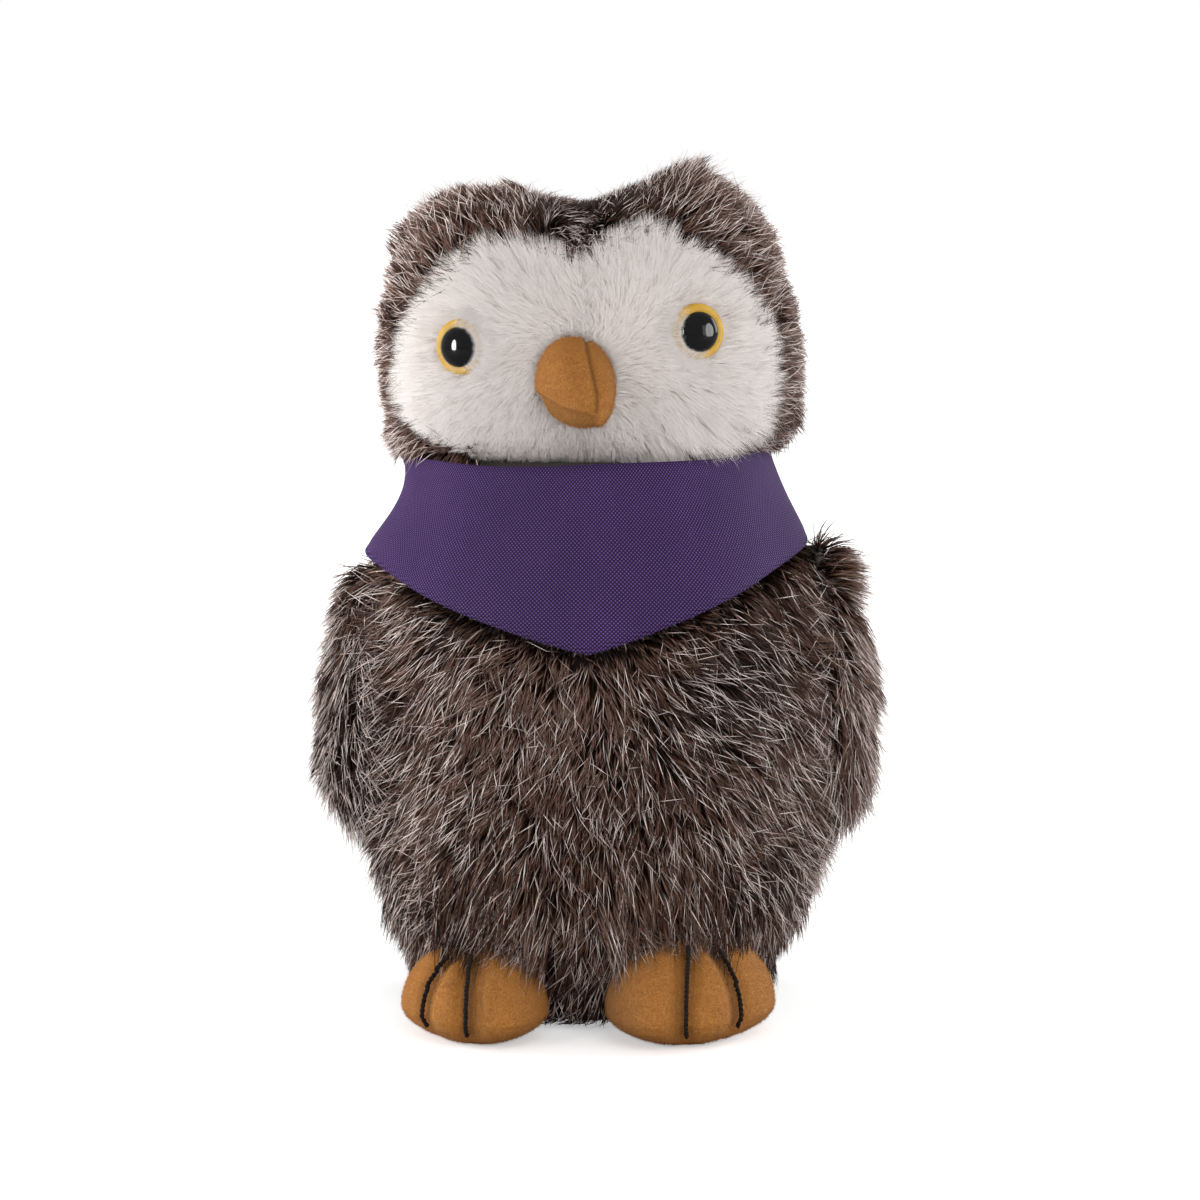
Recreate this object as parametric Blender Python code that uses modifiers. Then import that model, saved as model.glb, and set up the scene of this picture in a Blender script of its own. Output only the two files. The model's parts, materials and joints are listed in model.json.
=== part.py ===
"""Plush owl that stands on its base and two feet, with a knotted bandana.

Metres, +Z up. The owl faces -Y, and left and right are its own, so left is +X.
The origin is on the floor, under the middle of the base panel.
Each plush solid fills the space of its cloth and the fur laid on it.
"""

import math

import bmesh
import bpy
from mathutils import Matrix, Vector
from mathutils.bvhtree import BVHTree

# Clearances, and how far a cutter runs past what it cuts
GAP = 0.0003
BANDANA_GAP = 0.0006
OVERRUN = 0.010
SHARP_ANGLE = math.radians(40)

# Body: a round swelled form, cut level at the neck and at the base
BODY_HEIGHT = 0.1195
BODY_RADIUS = 0.0500
BODY_WALL = 0.0060
FUR_LIFT = 0.0005
BODY_SEGMENTS = 14
BODY_LEAN = 0.0024
# Height, reach to the sides, front and back, and the share of the lean, from the top down
BODY_ROW_SHARES = (
    (1.085, 0, 0, 0, 1.0),
    (1.050, 0.73, 0.73, 0.73, 1.0),
    (0.935, 0.785, 0.785, 0.785, 1.0),
    (0.850, 0.890, 0.890, 0.890, 0.80),
    (0.740, 0.965, 0.965, 0.965, 0.55),
    (0.590, 1.0, 1.0, 1.0, 0.25),
    (0.390, 1.0, 1.0, 0.985, 0),
    (0.210, 0.970, 0.970, 0.940, 0),
    (0.080, 0.880, 0.860, 0.850, 0),
    (-0.012, 0.650, 0.630, 0.640, 0),
    (-0.060, 0.360, 0.350, 0.360, 0),
    (-0.080, 0, 0, 0, 0),
)

# Base panel and the pouch of pellets that rests on it
BASE_HALF_WIDTH = 0.0260
BASE_HALF_DEPTH = 0.0240
BASE_WALL = 0.0025
BASE_SEGMENTS = 28
POUCH_RADIUS = 0.0230
POUCH_HEIGHT = 0.0180
POUCH_SEGMENTS = 10
POUCH_ROW_SHARES = (
    (1.0, 0, 0, 0),
    (0.90, 0.62, 0.62, 0.62),
    (0.50, 1.0, 1.0, 1.0),
    (0.02, 0.84, 0.84, 0.84),
    (-0.20, 0, 0, 0),
)

# Head: a squarer form on the neck, turned a little and tipped to the owl's right
HEAD_HALF_WIDTH = 0.0465
HEAD_HALF_DEPTH = 0.0385
HEAD_HEIGHT = 0.0580
HEAD_WALL = 0.0050
HEAD_OFFSET = 0.0007
HEAD_ROLL = math.radians(3.9)
HEAD_YAW = math.radians(3.6)
HEAD_SEGMENTS = 14
EAR_RISE = 0.0105
EAR_START_SHARE = 0.22
HEAD_ROW_SHARES = (
    (0.915, 0, 0, 0),
    (0.935, 0.48, 0.34, 0.40),
    (0.900, 0.79, 0.66, 0.70),
    (0.770, 0.92, 0.88, 0.90),
    (0.560, 0.980, 0.98, 0.99),
    (0.340, 1.0, 1.0, 1.02),
    (0.130, 0.985, 0.99, 1.01),
    (-0.040, 0.870, 0.90, 0.94),
    (-0.150, 0.500, 0.50, 0.50),
    (-0.180, 0, 0, 0),
)

# White face: half of its outline from the brow to the chin, as shares of half width and height
FACE_HALF_WIDTH = 0.0410
FACE_HEIGHT = 0.0460
FACE_REACH = 0.0600
FACE_DIP_SHIFT = 0.0030
FACE_OUTLINE_SHARES = (
    (0, 0.855),
    (0.20, 0.950),
    (0.44, 1.0),
    (0.68, 0.875),
    (0.82, 0.770),
    (0.93, 0.610),
    (1.0, 0.435),
    (1.0, 0.285),
    (0.95, 0.165),
    (0.81, 0.095),
    (0.52, 0.020),
    (0.25, -0.070),
    (0, -0.070),
)

# Safety eyes: an amber ring, a black button whose shank goes through it, and a washer inside
EYE_SPACING = 0.0502
EYE_HEIGHT = 0.0254
EYE_RADIUS = 0.0060
EYE_RING_WALL = 0.0024
EYE_RING_BEVEL = 0.0008
EYE_SINK = 0.0026
PUPIL_RADIUS = 0.0042
PUPIL_RISE = 0.0028
SHANK_RADIUS = 0.0020
SHANK_TAIL = 0.0015
WASHER_RADIUS = 0.0050
WASHER_WALL = 0.0010
WASHER_SEAT = 0.0008
EYE_STEPS = 20
DOME_STEPS = 4
TURN_MERGE = 0.00001

# Beak: three velour panels round its own stuffing, leaning down and to the owl's left
BEAK_HALF_WIDTH = 0.0084
BEAK_HALF_HEIGHT = 0.0100
BEAK_LENGTH = 0.0135
BEAK_HEIGHT = 0.0178
BEAK_OFFSET = -0.0014
BEAK_DROP = 0.0060
BEAK_LEAN = 0.0048
BEAK_WALL = 0.0016
BEAK_SEGMENTS = 12
BEAK_RIDGE = math.radians(62)
BEAK_LOW_LEFT = math.radians(-62)
BEAK_LOW_RIGHT = math.radians(-128)
# Reach out of the face, half width, lower and upper half height, and the share of drop and lean
BEAK_ROW_SHARES = (
    (1.0, 0, 0, 0, 1.0),
    (0.93, 0.42, 0.42, 0.36, 0.92),
    (0.66, 0.76, 0.72, 0.74, 0.56),
    (0.26, 0.99, 0.96, 0.98, 0.16),
    (-0.20, 1.0, 1.0, 1.0, 0),
    (-0.50, 0, 0, 0, 0),
)

# Wings: flat swelled forms that hang from a seam at the shoulder
WING_LENGTH = 0.0610
WING_DROP = 0.0031
WING_HALF_DEPTH = 0.0225
WING_REACH = 0.0118
WING_INSET = 0.0100
WING_SHIFT = 0.0020
WING_LINING_WALL = 0.0030
WING_SEGMENTS = 12
WING_HINGE_DROP = 0.0006
WING_HINGE_OUT = 0.0004
# Height, reach outwards, and half of the depth, from the top down
WING_ROW_SHARES = (
    (0, 0, 0),
    (-0.020, 0.42, 0.36),
    (-0.190, 0.76, 0.76),
    (-0.460, 0.97, 1.0),
    (-0.740, 1.0, 0.94),
    (-0.950, 0.74, 0.58),
    (-1.0, 0, 0),
)

# Feet: three toes, the inner one the largest, with a thread between each two
FOOT_HALF_WIDTH = 0.0168
FOOT_FRONT = 0.0220
FOOT_BACK = 0.0160
FOOT_HEIGHT = 0.0200
FOOT_SPACING = 0.0450
FOOT_OFFSET = -0.0036
FOOT_FORWARD = 0.0430
FOOT_TURN = math.radians(-4)
FOOT_SLANT_SHARE = 0.24
FOOT_LEFT_SHARE = 1.09
FOOT_RIGHT_SHARE = 0.98
FOOT_WALL = 0.0018
FOOT_SOLE_WALL = 0.0016
FOOT_SEGMENTS = 16
TOE_STEPS = 2
TOE_CREASE_SHARE = 0.83
FOOT_ROW_SHARES = (
    (1.0, 0, 0, 0),
    (0.93, 0.54, 0.50, 0.60),
    (0.66, 0.88, 0.84, 0.90),
    (0.30, 1.0, 1.0, 1.0),
    (0.02, 0.86, 0.90, 0.90),
    (-0.10, 0.60, 0.60, 0.60),
    (-0.14, 0, 0, 0),
)
THREAD_RADIUS = 0.0004
THREAD_POINTS = 9
THREAD_HIGH = math.radians(56)
THREAD_LOW = math.radians(-11)
THREAD_PIVOT_SHARE = 0.34

# Bandana: a band round the neck that comes down to a point on the chest
BANDANA_WALL = 0.0011
BANDANA_SIDE_DROP = 0.0195
BANDANA_FRONT_DROP = 0.0370
BANDANA_BACK_DROP = 0.0130
BANDANA_BIB_POWER = 1.15
BANDANA_SLANT = 0.0014
BANDANA_SEGMENTS = 28
BANDANA_ROWS = 5
BANDANA_FOLDS = 7
BANDANA_FOLD_DEPTH = 0.0005
KNOT_HALF_WIDTH = 0.0075
KNOT_HALF_HEIGHT = 0.0050
KNOT_HALF_DEPTH = 0.0042
KNOT_SEGMENTS = 10
KNOT_ROW_SHARES = (
    (1.0, 0, 0, 0),
    (0.72, 0.66, 0.70, 0.70),
    (0, 1.0, 1.0, 1.0),
    (-0.72, 0.66, 0.70, 0.70),
    (-1.0, 0, 0, 0),
)
TAIL_LENGTH = 0.0240
TAIL_WIDTH = 0.0130
TAIL_WALL = 0.0011
TAIL_SPREAD = math.radians(34)
TAIL_ROWS = 4
TAIL_CURL = 0.0016
TAIL_START_SHARE = 0.40
TAIL_WAIST_SHARE = 0.45
TAIL_POINT_SHARE = 0.30

NECK_Z = BODY_HEIGHT
# The wings' top seams lie under the bandana's side edges
WING_TOP = NECK_Z - BANDANA_SIDE_DROP - WING_DROP
FRONT = Vector((0, -1, 0))


def clear_scene():
    for obj in list(bpy.data.objects):
        bpy.data.objects.remove(obj, do_unlink=True)


def new_collection(name):
    collection = bpy.data.collections.new(name)
    bpy.context.scene.collection.children.link(collection)
    return collection


def make_material(name, colour, roughness, metallic=0.0):
    material = bpy.data.materials.new(name)
    material.use_nodes = True
    shader = material.node_tree.nodes["Principled BSDF"]
    shader.inputs["Base Color"].default_value = (*colour, 1.0)
    shader.inputs["Roughness"].default_value = roughness
    shader.inputs["Metallic"].default_value = metallic
    material.diffuse_color = (*colour, 1.0)
    return material


def add_object(name, bm, collection, material=None):
    """A mesh object from a bmesh, shaded smooth except at its sharp edges."""
    bm.normal_update()
    bmesh.ops.recalc_face_normals(bm, faces=bm.faces)
    mesh = bpy.data.meshes.new(name)
    bm.to_mesh(mesh)
    bm.free()
    mesh.shade_smooth()
    mesh.set_sharp_from_angle(angle=SHARP_ANGLE)
    obj = bpy.data.objects.new(name, mesh)
    collection.objects.link(obj)
    if material:
        mesh.materials.append(material)
    return obj


def add_cutter(name, bm):
    obj = add_object(name, bm, CUTTERS)
    obj.hide_render = True
    obj.display_type = "WIRE"
    return obj


def subdivide(obj):
    smooth = obj.modifiers.new("Swell", "SUBSURF")
    smooth.levels = 1
    smooth.render_levels = 1


def thicken(obj, wall, offset=-1):
    shell = obj.modifiers.new("Cloth wall", "SOLIDIFY")
    shell.thickness = wall
    shell.offset = offset


def shift_surface(obj, distance):
    """Moves the whole surface out, or in where the distance is negative."""
    grow = obj.modifiers.new("Clearance", "DISPLACE")
    grow.strength = distance
    grow.mid_level = 0


def boolean(obj, cutter, operation="DIFFERENCE"):
    cut = obj.modifiers.new(cutter.name, "BOOLEAN")
    cut.operation = operation
    cut.object = cutter


def scaled_rows(shares, height, side, front, back):
    """Rows of real sizes from a table of shares: height, side, front, back."""
    return [(h * height, s * side, f * front, b * back) for h, s, f, b in shares]


def ringed_cage(rows, segments, bends=None, lean=(0, 0)):
    """Each ring of a unit sphere moved to its row's height and reach, from the top down.

    The cage is a little wide, because one subdivision draws its corners in by this share.
    A row's bend is the share of the lean, in X and Y, by which its ring is moved aside.
    """
    bm = bmesh.new()
    steps = len(rows) - 1
    bmesh.ops.create_uvsphere(bm, u_segments=segments, v_segments=steps, radius=1)
    swell = 1 / math.cos(math.pi / segments)
    for vert in bm.verts:
        ring = round(math.acos(max(-1, min(1, vert.co.z))) / math.pi * steps)
        height, side, front, back = rows[ring]
        bend = bends[ring] if bends else 0
        across = math.hypot(vert.co.x, vert.co.y) or 1
        depth = front if vert.co.y < 0 else back
        vert.co.x = vert.co.x * side * swell / across + bend * lean[0]
        vert.co.y = vert.co.y * depth * swell / across + bend * lean[1]
        vert.co.z = height
    return bm


def open_pole(bm, lowest):
    """Takes away the fan of faces round the lowest or the highest point."""
    pole = min(bm.verts, key=lambda vert: vert.co.z if lowest else -vert.co.z)
    bmesh.ops.delete(bm, geom=[pole], context="VERTS")


def box_cutter(name, low, high):
    bm = bmesh.new()
    bmesh.ops.create_cube(bm, size=1)
    low, high = Vector(low), Vector(high)
    for vert in bm.verts:
        vert.co = Vector(low[i] if vert.co[i] < 0 else high[i] for i in range(3))
    return add_cutter(name, bm)


def prism(points, depth):
    """An outline in X and Z, swept from Y zero to the depth."""
    bm = bmesh.new()
    ring = bmesh.ops.create_circle(bm, segments=len(points), radius=1, cap_ends=True)["verts"]
    for vert, (x, z) in zip(ring, points):
        vert.co = Vector((x, 0, z))
    bmesh.ops.recalc_face_normals(bm, faces=bm.faces)
    swept = bmesh.ops.extrude_face_region(bm, geom=bm.faces[:])["geom"]
    moved = [item for item in swept if isinstance(item, bmesh.types.BMVert)]
    bmesh.ops.translate(bm, verts=moved, vec=(0, depth, 0))
    return bm


def inset_outline(points, distance):
    """The outline drawn in on every side by the distance."""
    area = sum(a[0] * b[1] - b[0] * a[1] for a, b in zip(points, points[1:] + points[:1]))
    turn = 1 if area > 0 else -1
    drawn = []
    for index, point in enumerate(points):
        here = Vector(point)
        before = (here - Vector(points[index - 1])).normalized()
        after = (Vector(points[(index + 1) % len(points)]) - here).normalized()
        inward = Vector((-(before + after).y, (before + after).x)).normalized() * turn
        lean = abs(before.cross(inward))
        drawn.append(tuple(here + inward * distance / lean))
    return drawn


def surface_seat(obj, start, direction):
    """Where a line from inside leaves the object's surface, and which way that surface faces."""
    tree = BVHTree.FromObject(obj, bpy.context.evaluated_depsgraph_get())
    point, normal, _, _ = tree.ray_cast(start, direction)
    return point, normal


def turned(name, profile, steps, collection, material=None):
    """A profile of radius and height spun round Z."""
    bm = bmesh.new()
    verts = [bm.verts.new((radius, 0, height)) for radius, height in profile]
    for first, second in zip(verts, verts[1:]):
        bm.edges.new((first, second))
    obj = add_object(name, bm, collection, material)
    spin = obj.modifiers.new("Turn", "SCREW")
    spin.steps = steps
    spin.render_steps = steps
    spin.use_merge_vertices = True
    spin.merge_threshold = TURN_MERGE
    return obj


def hang_on(pivot, *pieces):
    """Parents pieces to the empty on their joint's axis, without moving them."""
    for piece in pieces:
        piece.parent = pivot
        piece.matrix_parent_inverse = Matrix.Translation(pivot.location).inverted()


def add_pivot(name, location):
    pivot = bpy.data.objects.new(name, None)
    pivot.location = location
    pivot.empty_display_size = EYE_RADIUS
    OWL.objects.link(pivot)
    return pivot


def body_cage():
    """Round all the way up, with the neck leaning a little to the owl's right."""
    shares = [row[:4] for row in BODY_ROW_SHARES]
    bends = [row[4] for row in BODY_ROW_SHARES]
    rows = scaled_rows(shares, BODY_HEIGHT, BODY_RADIUS, BODY_RADIUS, BODY_RADIUS)
    return ringed_cage(rows, BODY_SEGMENTS, bends, (-BODY_LEAN, 0))


def body_form(name, distance):
    """The closed form of the body, moved out or in, to cut its neighbours with."""
    form = add_cutter(name, body_cage())
    subdivide(form)
    shift_surface(form, distance)
    return form


def wide_box(name, low_z, high_z):
    reach = BODY_RADIUS + OVERRUN
    return box_cutter(name, (-reach, -reach, low_z), (reach, reach, high_z))


def make_body():
    """Plush skin, base panel, pouch and stuffing."""
    above = wide_box("above_neck", NECK_Z - GAP / 2, BODY_HEIGHT + BODY_RADIUS)
    below = wide_box("below_fur", -BODY_RADIUS, FUR_LIFT)
    hole = disc_bmesh(BASE_HALF_WIDTH + GAP, BASE_HALF_DEPTH + GAP, -OVERRUN, OVERRUN)
    opening = add_cutter("base_opening", hole)

    cover_cage = body_cage()
    open_pole(cover_cage, lowest=True)
    open_pole(cover_cage, lowest=False)
    cover = add_object("body_cover", cover_cage, OWL, BROWN_PLUSH)
    subdivide(cover)
    thicken(cover, BODY_WALL)
    for cutter in (above, below, opening):
        boolean(cover, cutter)

    panel = disc_bmesh(BASE_HALF_WIDTH, BASE_HALF_DEPTH, 0, BASE_WALL)
    add_object("base_panel", panel, OWL, BASE_FELT)

    pouch_low = BASE_WALL + GAP
    pouch_rows = scaled_rows(
        POUCH_ROW_SHARES, POUCH_HEIGHT, POUCH_RADIUS, POUCH_RADIUS, POUCH_RADIUS
    )
    pouch_cage = ringed_cage(pouch_rows, POUCH_SEGMENTS)
    bmesh.ops.translate(pouch_cage, verts=pouch_cage.verts, vec=(0, 0, pouch_low))
    pocket_cage = pouch_cage.copy()
    floor = wide_box("stuffing_floor", -BODY_RADIUS, pouch_low)
    pouch = add_object("pellet_pouch", pouch_cage, OWL, POUCH_COTTON)
    subdivide(pouch)
    boolean(pouch, floor)
    pocket = add_cutter("pouch_pocket", pocket_cage)
    subdivide(pocket)
    shift_surface(pocket, GAP)

    stuffing = add_object("body_stuffing", body_cage(), OWL, STUFFING)
    subdivide(stuffing)
    shift_surface(stuffing, -(BODY_WALL + GAP))
    for cutter in (above, floor, pocket):
        boolean(stuffing, cutter)


def disc_bmesh(half_width, half_depth, low_z, high_z):
    """A flat oval between two levels."""
    bm = bmesh.new()
    bmesh.ops.create_cone(
        bm, cap_ends=True, segments=BASE_SEGMENTS, radius1=1, radius2=1, depth=1
    )
    for vert in bm.verts:
        level = high_z if vert.co.z > 0 else low_z
        vert.co = Vector((vert.co.x * half_width, vert.co.y * half_depth, level))
    return bm


def head_frame():
    """From the head's own axes, with the neck's centre at zero, to the owl's."""
    neck = Matrix.Translation((HEAD_OFFSET * -1, 0, NECK_Z))
    yaw = Matrix.Rotation(-HEAD_YAW, 4, "Z")
    roll = Matrix.Rotation(-HEAD_ROLL, 4, "Y")
    return neck @ yaw @ roll


def head_cage():
    rows = scaled_rows(
        HEAD_ROW_SHARES, HEAD_HEIGHT, HEAD_HALF_WIDTH, HEAD_HALF_DEPTH, HEAD_HALF_DEPTH
    )
    bm = ringed_cage(rows, HEAD_SEGMENTS)
    for vert in bm.verts:
        out = abs(vert.co.x) / HEAD_HALF_WIDTH - EAR_START_SHARE
        high = max(0, vert.co.z / HEAD_HEIGHT)
        vert.co.z += EAR_RISE * max(0, out) * high**4
    bm.transform(head_frame())
    return bm


def head_form(name, distance):
    form = add_cutter(name, head_cage())
    subdivide(form)
    shift_surface(form, distance)
    return form


def face_points(side):
    """One half of the face's outline, in real sizes, for the side at +1 or -1.

    The dip at the brow sits a little to the owl's left of the middle.
    """
    points = [(side * x * FACE_HALF_WIDTH, z * FACE_HEIGHT) for x, z in FACE_OUTLINE_SHARES]
    dip_x, dip_z = points[0]
    return [(dip_x + FACE_DIP_SHIFT, dip_z)] + points[1:]


def face_prism(name, points):
    bm = prism(points, -FACE_REACH)
    bm.transform(head_frame())
    return add_cutter(name, bm)


def head_shell(name, material):
    """An open copy of the head's form, with its cloth wall, cut off level at the neck."""
    cage = head_cage()
    open_pole(cage, lowest=True)
    shell = add_object(name, cage, OWL, material)
    subdivide(shell)
    thicken(shell, HEAD_WALL)
    return shell


def make_head():
    """Hood, face halves and stuffing. It returns them with the pieces that eyes and beak cut."""
    below = wide_box("below_neck", 0, NECK_Z + GAP / 2)
    outline = face_points(1) + face_points(-1)[-2:0:-1]

    crown = head_shell("crown_cover", BROWN_PLUSH)
    boolean(crown, face_prism("face_opening", outline))
    boolean(crown, below)

    panels = {}
    for side, word in ((1, "left"), (-1, "right")):
        panel = head_shell("face_panel_" + word, WHITE_PLUSH)
        half = face_prism("face_half_" + word, inset_outline(face_points(side), GAP))
        boolean(panel, half, "INTERSECT")
        boolean(panel, below)
        panels[side] = panel

    stuffing = add_object("head_stuffing", head_cage(), OWL, STUFFING)
    subdivide(stuffing)
    shift_surface(stuffing, -(HEAD_WALL + GAP))
    boolean(stuffing, below)
    return crown, panels, stuffing


def eye_frame(form, side):
    """A frame on the face where an eye sits, its Z pointing out of the face."""
    frame = head_frame()
    start = frame @ Vector((side * EYE_SPACING / 2, 0, EYE_HEIGHT))
    point, normal = surface_seat(form, start, frame.to_3x3() @ FRONT)
    turn = normal.to_track_quat("Z", "Y").to_matrix().to_4x4()
    return Matrix.Translation(point) @ turn


def plug_cutter(name, radius, low, high, frame):
    bm = bmesh.new()
    bmesh.ops.create_cone(
        bm, cap_ends=True, segments=EYE_STEPS, radius1=radius, radius2=radius, depth=1
    )
    for vert in bm.verts:
        vert.co.z = high if vert.co.z > 0 else low
    cutter = add_cutter(name, bm)
    cutter.matrix_world = frame
    return cutter


def make_eye(form, side, word, panel, stuffing):
    frame = eye_frame(form, side)
    ring_low = GAP - EYE_SINK
    ring_high = ring_low + EYE_RING_WALL
    washer_high = -HEAD_WALL - WASHER_SEAT
    shank_low = washer_high - WASHER_WALL - SHANK_TAIL
    hole = SHANK_RADIUS + GAP

    ring_profile = (
        (hole, ring_high),
        (EYE_RADIUS - EYE_RING_BEVEL, ring_high),
        (EYE_RADIUS, ring_high - EYE_RING_BEVEL),
        (EYE_RADIUS, ring_low),
        (hole, ring_low),
        (hole, ring_high),
    )
    ring = turned("eye_ring_" + word, ring_profile, EYE_STEPS, OWL, AMBER_PLASTIC)

    pupil_low = ring_high + GAP
    dome = [
        (PUPIL_RADIUS * math.sin(angle), pupil_low + PUPIL_RISE * math.cos(angle))
        for angle in (math.pi / 2 * step / DOME_STEPS for step in range(DOME_STEPS + 1))
    ]
    shank = [(SHANK_RADIUS, pupil_low), (SHANK_RADIUS, shank_low), (0, shank_low)]
    pupil = turned("eye_pupil_" + word, dome + shank, EYE_STEPS, OWL, BLACK_PLASTIC)

    washer_profile = (
        (hole, washer_high),
        (WASHER_RADIUS, washer_high),
        (WASHER_RADIUS, washer_high - WASHER_WALL),
        (hole, washer_high - WASHER_WALL),
        (hole, washer_high),
    )
    washer = turned("eye_washer_" + word, washer_profile, EYE_STEPS, OWL, WASHER_PLASTIC)
    for piece in (ring, pupil, washer):
        piece.matrix_world = frame

    socket = plug_cutter(
        "eye_socket_" + word, EYE_RADIUS + GAP, -EYE_SINK, HEAD_WALL, frame
    )
    bore = plug_cutter("shank_bore_" + word, hole, shank_low, HEAD_WALL, frame)
    chamber = plug_cutter(
        "washer_chamber_" + word, WASHER_RADIUS + GAP, shank_low - GAP, HEAD_WALL, frame
    )
    boolean(panel, socket)
    boolean(panel, bore)
    boolean(stuffing, chamber)
    return ring, pupil, washer


def beak_cage():
    """Rings stacked out of the face, each moved down and aside by its share."""
    shares = [row[:4] for row in BEAK_ROW_SHARES]
    bends = [row[4] for row in BEAK_ROW_SHARES]
    rows = scaled_rows(
        shares, BEAK_LENGTH, BEAK_HALF_WIDTH, BEAK_HALF_HEIGHT, BEAK_HALF_HEIGHT
    )
    return ringed_cage(rows, BEAK_SEGMENTS, bends, (BEAK_LEAN, -BEAK_DROP))


def wedge(name, frame, start, end):
    """A slice round the beak's axis between two angles, a gap short of its neighbours."""
    reach = BEAK_HALF_WIDTH + BEAK_HALF_HEIGHT + OVERRUN
    turns = [start + (end - start) * step / 3 for step in range(4)]
    points = [(0, 0)] + [(reach * math.cos(turn), reach * math.sin(turn)) for turn in turns]
    bm = prism(inset_outline(points, GAP / 2), BEAK_LENGTH * 3)
    bm.transform(Matrix.Rotation(math.radians(90), 4, "X"))
    bmesh.ops.translate(bm, verts=bm.verts, vec=(0, 0, -BEAK_LENGTH))
    bm.transform(frame)
    return add_cutter(name, bm)


def make_beak(form, face_surface):
    frame = head_frame()
    start = frame @ Vector((BEAK_OFFSET, 0, BEAK_HEIGHT))
    point, _ = surface_seat(form, start, frame.to_3x3() @ FRONT)
    aim = Matrix.Rotation(math.radians(90), 4, "X")
    seat = Matrix.Translation(point) @ frame.to_3x3().to_4x4() @ aim

    pieces = []
    slices = (
        ("beak_panel_left", BEAK_LOW_LEFT, BEAK_RIDGE),
        ("beak_panel_right", BEAK_RIDGE, math.tau + BEAK_LOW_RIGHT),
        ("beak_underside", BEAK_LOW_RIGHT, BEAK_LOW_LEFT),
    )
    for name, begin, end in slices:
        cage = beak_cage()
        open_pole(cage, lowest=True)
        cage.transform(seat)
        piece = add_object(name, cage, OWL, TAN_VELOUR)
        subdivide(piece)
        thicken(piece, BEAK_WALL)
        boolean(piece, face_surface)
        boolean(piece, wedge(name + "_slice", seat, begin, end), "INTERSECT")
        pieces.append(piece)

    cage = beak_cage()
    cage.transform(seat)
    core = add_object("beak_stuffing", cage, OWL, STUFFING)
    subdivide(core)
    shift_surface(core, -(BEAK_WALL + GAP))
    boolean(core, face_surface)
    return pieces + [core]


def wing_cage(side, seat_x):
    """A whole swelled form, of which the part inside the body is cut away later."""
    shares = [(height, reach, deep, deep) for height, reach, deep in WING_ROW_SHARES]
    reach = WING_REACH + WING_INSET
    rows = scaled_rows(shares, WING_LENGTH, reach, WING_HALF_DEPTH, WING_HALF_DEPTH)
    bm = ringed_cage(rows, WING_SEGMENTS)
    place = (side * (seat_x - WING_INSET), WING_SHIFT, WING_TOP)
    bmesh.ops.translate(bm, verts=bm.verts, vec=place)
    return bm


def make_wing(side, word, body_surface, body_clear, lining_surface, lining_clear):
    """Cover and lining, both cut by the body. It returns them with their hinge's pivot."""
    seat, _ = surface_seat(body_surface, Vector((0, 0, WING_TOP)), Vector((side, 0, 0)))
    low_z = WING_TOP - WING_LENGTH / 2
    middle, _ = surface_seat(body_surface, Vector((0, 0, low_z)), Vector((side, 0, 0)))
    out = abs(middle.x)

    cover = add_object("wing_cover_" + word, wing_cage(side, out), OWL, BROWN_PLUSH)
    subdivide(cover)
    boolean(cover, lining_clear)

    lining = add_object("wing_lining_" + word, wing_cage(side, out), OWL, WING_LINING)
    subdivide(lining)
    boolean(lining, lining_surface, "INTERSECT")
    boolean(lining, body_clear)

    hinge = Vector((seat.x + side * WING_HINGE_OUT, WING_SHIFT, WING_TOP - WING_HINGE_DROP))
    pivot = add_pivot("wing_hinge_" + word, hinge)
    hang_on(pivot, cover, lining)


def foot_cage(side):
    """Three toes: the rings pinch at the front and two steps outwards from it.

    The foot is slanted, so that its inner toe comes furthest to the front.
    """
    rows = scaled_rows(FOOT_ROW_SHARES, FOOT_HEIGHT, FOOT_HALF_WIDTH, FOOT_FRONT, FOOT_BACK)
    bm = ringed_cage(rows, FOOT_SEGMENTS)
    step = math.tau / FOOT_SEGMENTS
    for vert in bm.verts:
        turn = math.atan2(side * vert.co.x / FOOT_HALF_WIDTH, -vert.co.y / FOOT_FRONT)
        for crease in (0, TOE_STEPS * step):
            if abs(turn - crease) < step / 4 and vert.co.y < 0:
                vert.co.x *= TOE_CREASE_SHARE
                vert.co.y *= TOE_CREASE_SHARE
        vert.co.y += FOOT_SLANT_SHARE * side * vert.co.x
    return bm


def foot_frame(side):
    """Where a foot stands, and how large it is: the owl's left foot is the fuller one."""
    place = Matrix.Translation((FOOT_OFFSET + side * FOOT_SPACING / 2, -FOOT_FORWARD, 0))
    size = FOOT_LEFT_SHARE if side > 0 else FOOT_RIGHT_SHARE
    return place @ Matrix.Rotation(FOOT_TURN, 4, "Z") @ Matrix.Scale(size, 4)


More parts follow.
